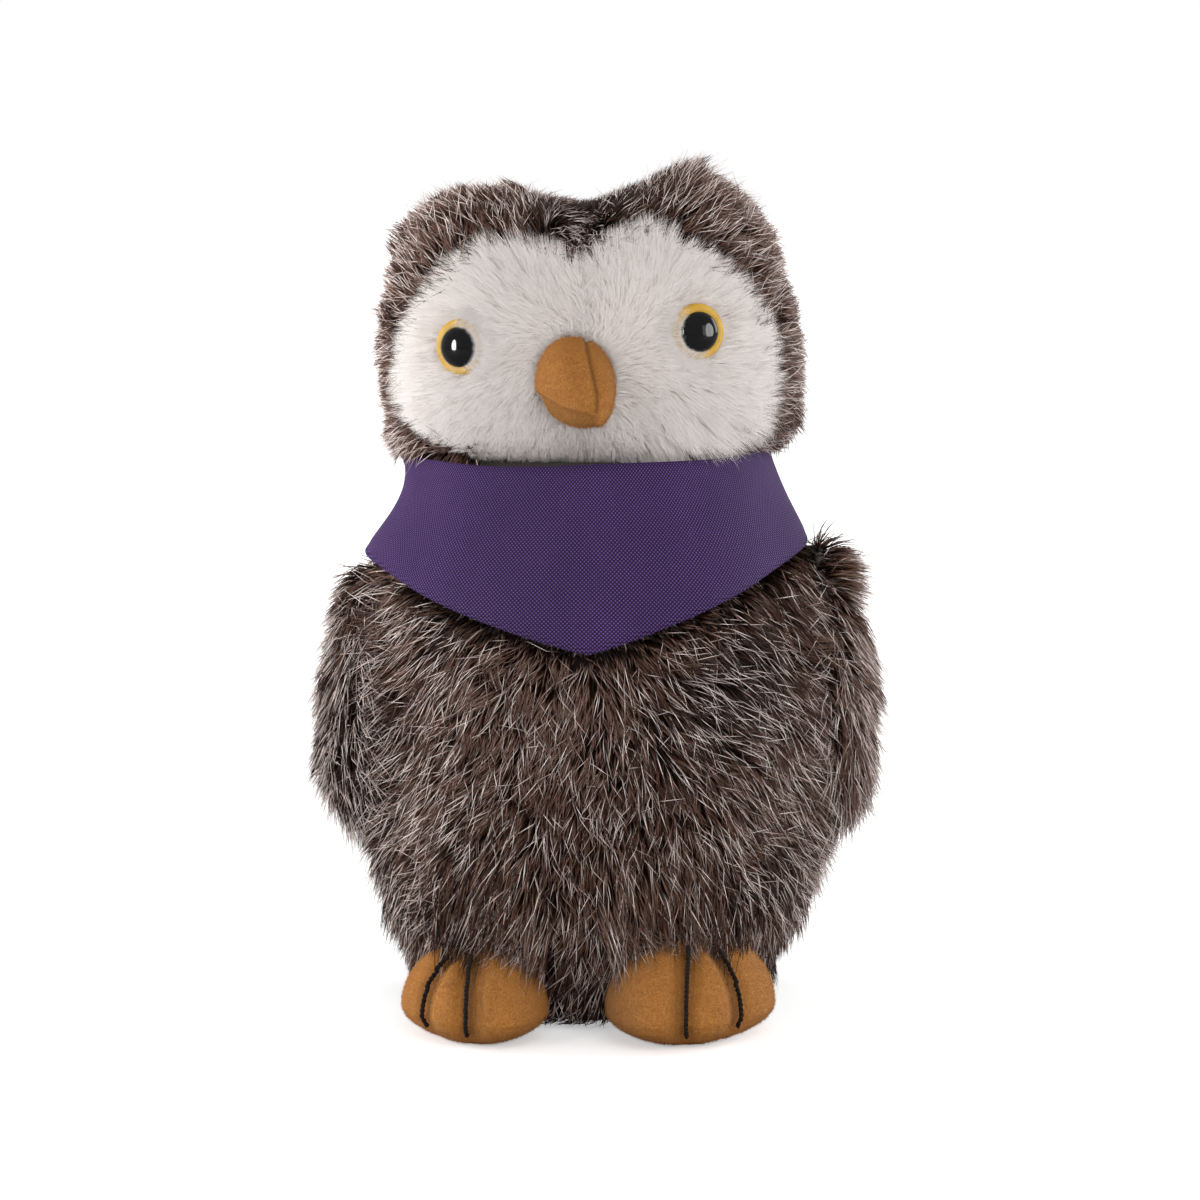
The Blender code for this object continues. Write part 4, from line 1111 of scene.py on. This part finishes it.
def napped(name, skin, body, per_mm2, length, rng, keep=None):
    """Short hair on a velour skin, leaning a little down."""
    roots, normals = scattered(skin, per_mm2, rng, keep)
    flow = along_skin(DOWN + rng.normal(0, 1.0, (len(roots), 3)), normals)
    size = length * rng.uniform(0.6, 1.2, len(roots))
    lift = rng.uniform(0.8, 1.4, len(roots))
    tips = roots + aimed(flow, normals, lift) * size[:, None]
    tips[:, 2] = np.maximum(tips[:, 2], 0.1 * MM)
    tones = np.clip(rng.random(len(roots)) + drift(roots, 6 * MM, 2) * 0.2, 0, 1)
    radii = 0.035 * MM * rng.uniform(0.8, 1.2, len(roots))
    strands = (roots, normals, tips, radii, tones)
    return hair_piece(
        name, body, "tan_velour", tan_nap, tones >= 0, strands, cuts=(), shading=normals
    )


# %% [markdown]
# ## Beak
# Two side panels meet in a seam along the ridge, and a third closes the underside. The bag is
# remeshed, puffed with its seams pinned, and then pulled in along them, as a tight seam does.

# %% Beak
BEAK_PANELS = ("beak_panel_left", "beak_panel_right", "beak_underside")
beak = remeshed(copied("beak", [*BEAK_PANELS, "beak_stuffing"]), 0.8 * MM, 2)
beak_trees = {name: node_tree(name) for name in BEAK_PANELS}


def panel_seams(points, trees, width):
    """One on a seam between two packed panels, falling to zero over a width."""
    near = np.sort(np.stack([distances(points, tree) for tree in trees.values()]), axis=0)
    return 1 - eased(near[1] - near[0], 0, width)


# The ridge's seam and the underside's seam as the photograph shows them, as places of x and z
RIDGE = np.array(((-3.4, 149), (-2.6, 144), (-1.4, 139), (-0.5, 135), (-0.7, 131.2))) * MM
UNDER = np.array(((-14, 135.5), (-8.3, 132.8), (-0.8, 131.2), (5, 134))) * MM


def beak_seams(points, width):
    """One on a seam at the beak's front, falling to zero over a width, and what lies below."""
    x, z = points[:, 0], points[:, 2]
    ridge = np.abs(x - np.interp(z, RIDGE[::-1, 1], RIDGE[::-1, 0]))
    ridge += np.maximum(RIDGE[-1, 1] - z, 0)
    below = eased(np.interp(x, UNDER[:, 0], UNDER[:, 1]) - z, 0, 1.2 * MM)
    below *= 1 - eased(x, -1.5 * MM, 0.5 * MM)
    return (1 - eased(ridge, 0, width)) * (points[:, 1] < -38 * MM), below


points = points_of(beak)
face_tree = node_tree("face_panel_left", "face_panel_right")
rooted = distances(points, face_tree) < 1.5 * MM
puffed(beak, (panel_seams(points, beak_trees, 0.6 * MM) > 0.5) | rooted, 1.0 * MM)
subdivided(beak)
marks, below = beak_seams(points_of(beak), 1.1 * MM)
normals = surface_of(beak)[2]
sunk = (marks**1.5 * 0.6 + below * 0.9) * MM
moved_points(beak, lambda points: points - normals * sunk[:, None])
# Painted shade: the ridge's seam and the underside are darkened in colour as well as sunk
painted_shade_marks(beak, np.maximum(marks**2 * 0.6, below * 0.35))
dressed(beak, tan_velour, "tan_velour", "head", *BEAK_PANELS, "beak_stuffing", fill=0.9)
napped(
    "beak_nap", beak, "head", 14, 0.65 * MM, np.random.default_rng(61),
    lambda p, n: beak_seams(p, 1.1 * MM)[0] < 0.5,
)

# %% [markdown]
# ## Feet
# Each foot is a velour bag with three toes. A dark thread is pulled tight round it between the toes,
# and the cloth swells beside it. So the threads' lines are pinned while the bag is puffed.

# %% Feet
ROUND_HEIGHTS = np.array((0, 1, 2, 4, 6)) * MM
ROUND_SHARES = (0.45, 0.60, 0.76, 0.93, 1.0)


def rounded_under(points, word):
    """Draws the lowest part of a foot in towards its middle, as a full bag rests on the floor."""
    low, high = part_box(f"foot_upper_{word}")
    middle = np.array(((low.x + high.x) / 2, (low.y + high.y) / 2))
    share = np.interp(points[:, 2], ROUND_HEIGHTS, ROUND_SHARES)
    points[:, :2] = middle + (points[:, :2] - middle) * share[:, None]
    return points


for word in ("left", "right"):
    nodes = [f"foot_{part}_{word}" for part in ("upper", "sole", "stuffing")]
    threads = [f"toe_thread_{word}_{place}" for place in ("inner", "outer")]
    foot = remeshed(copied(f"foot_{word}", nodes), 1.1 * MM, 3)
    thread_tree = node_tree(*threads)
    points = points_of(foot)
    sewn = distances(points, thread_tree) < 1.1 * MM
    puffed(foot, sewn | (points[:, 2] < 0.6 * MM), 1.0 * MM)
    subdivided(foot)
    points, _, normals = surface_of(foot)
    gaps = distances(points, thread_tree)
    marks = 1 - eased(gaps, 0.5 * MM, 2.0 * MM)
    depth = ((1 - eased(gaps, 0.5 * MM, 4.5 * MM)) ** 1.5 * 1.7 * MM)[:, None]

    def creased(points):
        """Pulls the cloth in along the threads, and keeps it above the floor."""
        points = rounded_under(points - normals * depth, word)
        points[:, 2] = np.maximum(points[:, 2], 0.2 * MM)
        return points

    moved_points(foot, creased)
    # Painted shade: the cloth is darkened in the creases beside the threads
    painted_shade_marks(foot, marks**2 * 0.5)
    dressed(foot, tan_velour, "tan_velour", "torso", *nodes, fill=0.85)
    napped(
        f"foot_nap_{word}", foot, "torso", 10, 0.65 * MM, np.random.default_rng(65),
        lambda p, n: (p[:, 2] > 0.5 * MM) & (p[:, 1] < -18 * MM),
    )

# %% [markdown]
# A sewing thread is two plies twisted together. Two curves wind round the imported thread's middle line, and
# their bevel gives them a round section.

# %% Toe threads
# Nearly black and fuzzy, without a shine
dark_thread, tree, shader = cloth_material("dark_cotton_thread", 0.85)
shader.inputs["Specular IOR Level"].default_value = 0.1
place = add_node(tree, "TexCoord")
fuzz = add_node(tree, "TexNoise", {"Vector": (place, "Object"), "Scale": 1500, "Detail": 3})
tone = add_node(tree, "ValToRGB", {"Fac": (fuzz, "Fac")}, [(0.3, "#0c0807"), (0.75, "#221814")])
tree.links.new(tone.outputs["Color"], shader.inputs["Base Color"])
PLY_RADIUS, PLY_OFFSET, TWIST_PITCH, THREAD_STEPS = 0.30 * MM, 0.22 * MM, 2.2 * MM, 90
THREAD_SINK = 0.7 * MM


def middle_line(name, cuts=14):
    """The middle line of a packed thread, which runs from high to low."""
    points = node_points(name)
    edges = np.linspace(points[:, 2].max(), points[:, 2].min(), cuts + 1)
    rows = [points[(points[:, 2] <= a) & (points[:, 2] >= b)] for a, b in zip(edges, edges[1:])]
    line = np.array([row.mean(0) for row in rows if len(row)])
    ends = points[[points[:, 2].argmax(), points[:, 2].argmin()]]
    line = np.concatenate([ends[:1], line, ends[1:]])
    steps = np.concatenate([[0], np.cumsum(np.linalg.norm(np.diff(line, axis=0), axis=1))])
    ways = np.linspace(0, steps[-1], THREAD_STEPS)
    return np.stack([np.interp(ways, steps, line[:, axis]) for axis in range(3)], 1), ways


def twisted(name):
    """Two plies wound round a packed thread's middle line."""
    line, ways = middle_line(name)
    line = rounded_under(line, name.split("_")[2])
    low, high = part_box(f"foot_stuffing_{name.split('_')[2]}")
    line -= unit(line - np.array((low + high) / 2)) * THREAD_SINK
    line[:, 2] = np.maximum(line[:, 2], PLY_RADIUS + PLY_OFFSET)
    along = unit(np.gradient(line, axis=0))
    side = unit(np.cross(along, (0.0, 1.0, 0.2)))
    up = np.cross(side, along)
    curve = bpy.data.curves.new(name, "CURVE")
    curve.dimensions, curve.bevel_depth, curve.bevel_resolution = "3D", PLY_RADIUS, 2
    curve.use_fill_caps = True
    for ply in (0, math.pi):
        turn = (ways / TWIST_PITCH * math.tau + ply)[:, None]
        places = line + (side * np.cos(turn) + up * np.sin(turn)) * PLY_OFFSET
        spline = curve.splines.new("POLY")
        spline.points.add(len(places) - 1)
        spline.points.foreach_set("co", np.c_[places, np.ones(len(places))].ravel())
    winding = placed("winding", curve)
    bpy.context.view_layer.update()
    shape = winding.evaluated_get(bpy.context.evaluated_depsgraph_get())
    mesh = bpy.data.meshes.new_from_object(shape)
    bpy.data.objects.remove(winding)
    mesh.shade_smooth()
    return placed(name.replace("toe_", "twisted_"), mesh)


for word in ("left", "right"):
    for place in ("inner", "outer"):
        node = f"toe_thread_{word}_{place}"
        dressed(twisted(node), dark_thread, "dark_thread", "torso", node)

# %% [markdown]
# ## Bandana
# The bandana is one piece of fine knit, cut in a bib's shape and tied behind the neck. A grid is laid
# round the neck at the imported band's distance, hung to its lower edge, and given soft folds. Its map is
# in real metres of cloth, so that the knit keeps its size.

# %% Knit material
STITCH_PITCH = 0.80 * MM
WAVE_TURNS = math.tau / 10  # a wave texture's own length at a scale of one
# Two slanted waves cross, which gives rows of small purple stitches with dark gaps
purple_knit, tree, shader = cloth_material("purple_polyester_knit", 0.85, 0.03, "#a898bd")
shader.inputs["Specular IOR Level"].default_value = 0.15
cloth_map = add_node(tree, "UVMap", uv_map="knit")
waves = []
for lean in (1, -1):
    size = WAVE_TURNS / STITCH_PITCH
    leaning = {"Vector": (cloth_map, "UV"), "Scale": (lean * size, size, size)}
    bands = {"Vector": (add_node(tree, "Mapping", leaning), "Vector"), "Scale": 1}
    waves.append((add_node(tree, "TexWave", bands, bands_direction="DIAGONAL"), "Fac"))
stitches = add_node(tree, "Math", {0: waves[0], 1: waves[1]}, operation="MULTIPLY")
yarn = add_node(
    tree, "ValToRGB", {"Fac": (stitches, "Value")},
    [(0.0, "#11071e"), (0.18, "#321b49"), (0.85, "#6d4a8e")],
)
fade = add_node(tree, "TexNoise", {"Vector": (cloth_map, "UV"), "Scale": 60, "Detail": 3})
shade = add_node(tree, "ValToRGB", {"Fac": (fade, "Fac")}, [(0.25, "#d9d3e0"), (0.8, "#ffffff")])
dyed = add_node(
    tree, "Mix", {0: 1.0, 6: (yarn, "Color"), 7: (shade, "Color")}, data_type="RGBA",
    blend_type="MULTIPLY",
)
tree.links.new(dyed.outputs[2], shader.inputs["Base Color"])
ridges = add_node(tree, "Bump", {"Height": (stitches, "Value"), "Strength": 0.5, "Distance": 0.15 * MM})
tree.links.new(ridges.outputs["Normal"], shader.inputs["Normal"])

# %% Bandana
AXIS_X, BAND_WALL, BAND_RADIUS = -2.4 * MM, 0.8 * MM, 46 * MM
SIDE, FRONT, BACK, BIB_POWER, SLANT = 19.5 * MM, 37 * MM, 13 * MM, 1.15, 1.4 * MM
COLUMNS, BAND_ROWS, SAMPLES = 672, 18, 96


def band_drop(turn):
    """How far the cloth hangs below its upper edge, at an angle from the front."""
    across, slant = np.abs(np.sin(turn)), SLANT * np.sin(turn)
    front = FRONT - (FRONT - SIDE) * across**BIB_POWER - slant
    back = BACK + (SIDE - BACK) * across - slant
    return np.where(np.cos(turn) > 0, front, back)


def band_reach(turns, shares):
    """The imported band's distance from the neck's axis, by angle and share of the drop."""
    reach = np.full((len(shares), len(turns)), np.nan)
    for i, share in enumerate(shares):
        for k, turn in enumerate(turns):
            z = BAND_TOP - band_drop(turn) * np.clip(share, 0.03, 0.95)
            aim = Vector((math.sin(turn), -math.cos(turn), 0))
            start = Vector((AXIS_X, 0, z))
            hit = bandana_tree.ray_cast(start + aim * 90 * MM, -aim)[0]
            if hit is not None:
                reach[i, k] = (hit - start).to_2d().length
    for row in reach:
        bare = np.isnan(row)
        row[bare] = np.interp(np.flatnonzero(bare), np.flatnonzero(~bare), row[~bare])
    return reach


turns = np.linspace(-math.pi, math.pi, SAMPLES, endpoint=False)
shares = np.linspace(0, 1, 9)
reach = band_reach(turns, shares)
for _ in range(3):
    reach = (np.roll(reach, 1, 1) + 2 * reach + np.roll(reach, -1, 1)) / 4

bm = bmesh.new()
bmesh.ops.create_grid(bm, x_segments=COLUMNS, y_segments=BAND_ROWS, size=0.5)
knit = bm.loops.layers.uv.new("knit")
for face in bm.faces:
    for loop in face.loops:
        turn, share = loop.vert.co.x * math.tau, 0.5 - loop.vert.co.y
        loop[knit].uv = (turn * BAND_RADIUS, -share * float(band_drop(turn)))
band = from_bmesh("bandana_cloth", bm)


def hung(points):
    """Lays the flat grid round the neck."""
    turn, share = points[:, 0] * math.tau, 0.5 - points[:, 1]
    column = (turn / math.tau + 0.5) * SAMPLES
    low = np.floor(column).astype(int)
    part = column - low
    row = share * (len(shares) - 1)
    under = np.minimum(np.floor(row).astype(int), len(shares) - 2)
    blend = row - under
    first, second = (
        reach[level, low % SAMPLES] * (1 - part) + reach[level, (low + 1) % SAMPLES] * part
        for level in (under, under + 1)
    )
    away = first * (1 - blend) + second * blend - BAND_WALL / 2
    seam_free = np.sin((turn + math.pi) / 2) ** 2
    folds = np.sin(turn * 9 + share * 2.2) * 0.35 + np.sin(turn * 4 - share * 3.0 + 1) * 0.5
    away += folds * share * seam_free * 0.8 * MM
    sides = np.sin(turn) ** 4 * np.sin(math.pi * share**0.8)
    away -= np.where(turn < 0, 3.2, 0.6) * MM * sides
    away -= np.where(turn < 0, -1.0, 0.8) * MM * np.sin(turn) ** 4 * (1 - share)
    drop = band_drop(turn) * share
    teeth = (share > 0.999) * np.cos(turn * COLUMNS / 2) * 0.13 * MM
    tilt = (0.9 + 0.9 * np.sin(turn)) * np.clip(1.6 * np.cos(turn) + 0.8, 0, 1)
    z = BAND_TOP - drop + teeth + (1 - share) * (tilt + np.sin(turn * 5 + 0.6) * 0.25) * MM
    return np.stack([AXIS_X + np.sin(turn) * away, -np.cos(turn) * away, z], 1)


moved_points(band, hung)
wall = band.modifiers.new("Cloth", "SOLIDIFY")
wall.thickness, wall.offset = BAND_WALL, 0
settled(band)
bm = bmesh.new()
bm.from_mesh(band.data)
bmesh.ops.remove_doubles(bm, verts=bm.verts, dist=0.01 * MM)
bmesh.ops.recalc_face_normals(bm, faces=bm.faces)
bm.to_mesh(band.data)
bm.free()
dressed(band, purple_knit, "purple_knit", "bandana", "bandana")
print("bandana:", len(band.data.polygons), "faces")

# %% [markdown]
# The two ends are drawn through a small flat knot at the back of the neck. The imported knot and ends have
# the right places, so copies of them are remeshed and smoothed.

# %% Knot and ends
for word, voxel in (("knot", 0.7 * MM), ("tail_left", 0.45 * MM), ("tail_right", 0.45 * MM)):
    piece = remeshed(copied(f"tied_{word}", [f"bandana_{word}"]), voxel, 3)
    layer = piece.data.uv_layers.new(name="knit")
    corner = np.empty(len(piece.data.loops), np.int32)
    piece.data.loops.foreach_get("vertex_index", corner)
    layer.uv.foreach_set("vector", points_of(piece)[corner][:, [0, 2]].astype(np.float32).ravel())
    dressed(piece, purple_knit, "purple_knit", "bandana", f"bandana_{word}")

# %% [markdown]
# ## Base and washers
# The toy stands on a flat panel of felt. It is pressed fibre without a weave, so a noise gives
# it its look. The eyes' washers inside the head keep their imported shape.

# %% Base and washers
# Dark, dull and fibrous
base_felt, tree, shader = cloth_material("dark_wool_felt", 0.95, 0.2, "#7a6658")
place = add_node(tree, "TexCoord")
felted = {"Vector": (place, "Object"), "Scale": 900, "Detail": 5, "Distortion": 1.5}
fibres = add_node(tree, "TexNoise", felted)
tone = add_node(tree, "ValToRGB", {"Fac": (fibres, "Fac")}, [(0.3, "#221712"), (0.7, "#46342a")])
tree.links.new(tone.outputs["Color"], shader.inputs["Base Color"])
bump = add_node(tree, "Bump", {"Height": (fibres, "Fac"), "Strength": 0.6, "Distance": 0.2 * MM})
tree.links.new(bump.outputs["Normal"], shader.inputs["Normal"])

low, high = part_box("base_panel")
rim = 0.8 * MM
half, thick = (high.x - low.x) / 2, high.z - low.z
profile = [(0, thick)] + arc((half - rim, thick - rim), (rim, rim), 90, 0, 6)
profile += arc((half - rim, rim), (rim, rim), 0, -90, 6) + [(0, 0)]
base = spun("base_cloth", profile, Vector(((low.x + high.x) / 2, 0, low.z)), Vector((0, 0, 1)))
stretch = (high.y - low.y) / (high.x - low.x)
moved_points(base, lambda points: points * (1, stretch, 1))
dressed(base, base_felt, "base_felt", "torso", "base_panel")

# Milky white, and only seen if the owl is taken apart
washer_plastic = plastic("white_nylon_washer", ("#d8d6cc", "#e6e4dc"), 0.45, 0.5)
for word in ("left", "right"):
    for material_slot in frame["nodes"][f"eye_washer_{word}"].material_slots:
        material_slot.material = washer_plastic

# %% [markdown]
# ## Floor, backdrop and light
# The owl was photographed on white. The world shows white to the camera and in reflections,
# but lights the owl only mildly. The floor glows a little for the camera, which keeps the shadow.


# %% Stage and lamps
floor_paper = bpy.data.materials.new("white_paper_floor")
floor_paper.use_nodes = True
tree = floor_paper.node_tree
shader = tree.nodes["Principled BSDF"]
shader.inputs["Base Color"].default_value = linear("#f4f4f4")
shader.inputs["Roughness"].default_value = 0.9
shader.inputs["Emission Color"].default_value = linear("#ffffff")
rays = add_node(tree, "LightPath")
glow = add_node(tree, "Math", {0: (rays, "Is Camera Ray"), 1: 0.45}, operation="MULTIPLY")
tree.links.new(glow.outputs["Value"], shader.inputs["Emission Strength"])

bm = bmesh.new()
bmesh.ops.create_grid(bm, x_segments=1, y_segments=1, size=3)
floor = from_bmesh("floor", bm)
floor.data.materials.append(floor_paper)

world = bpy.data.worlds.new("studio")
bpy.context.scene.world = world
world.use_nodes = True
sky = world.node_tree
sky.nodes.clear()
rays = add_node(sky, "LightPath")
first = add_node(
    sky, "Math", {0: (rays, "Is Camera Ray"), 1: (rays, "Is Glossy Ray")}, operation="MAXIMUM"
)
seen = add_node(
    sky, "Math", {0: (first, "Value"), 1: (rays, "Is Transmission Ray")}, operation="MAXIMUM"
)
lit = add_node(sky, "Background", {"Color": linear("#ffffff"), "Strength": 0.4})
white = add_node(sky, "Background", {"Color": linear("#ffffff"), "Strength": 1.0})
both = add_node(
    sky, "MixShader", {0: (seen, "Value"), 1: (lit, "Background"), 2: (white, "Background")}
)
add_node(sky, "OutputWorld", {"Surface": (both, "Shader")})


def lamp(name, kind, place, energy, **settings):
    """A lamp that faces the middle of the owl."""
    data = bpy.data.lights.new(name, kind)
    data.energy = energy
    for key, value in settings.items():
        setattr(data, key, value)
    made = placed(name, data)
    made.location = place
    made.rotation_euler = (Vector(place) - AIM).to_track_quat("Z", "Y").to_euler()
    return made


key = lamp("key", "SUN", (0.2, -0.9, 0.6), 1.2, angle=math.radians(35))
left_sun = lamp("left", "SUN", (-1.0, 0.42, 0.12), 6.6, angle=math.radians(40))
lamp("right", "SUN", (1.0, 0.60, 0.30), 2.2, angle=math.radians(40))
strip = lamp("strip", "AREA", (-0.50, -0.75, 0.33), 1.4, shape="RECTANGLE", size=0.09, size_y=0.26)
lamp("side_strip", "AREA", (0.75, -0.55, 0.25), 1.2, shape="RECTANGLE", size=0.25, size_y=0.4)
key.visible_glossy = left_sun.visible_glossy = strip.visible_glossy = False
for word, place, size, energy in (
    ("left", (-0.82, -0.45, 0.15), (0.22, 0.50), 22), ("right", (0.88, -0.32, 0.20), (0.50, 0.65), 14),
):
    glint = lamp(f"glint_{word}", "AREA", place, energy, shape="ELLIPSE", size=size[0], size_y=size[1])
    glint.visible_diffuse = False
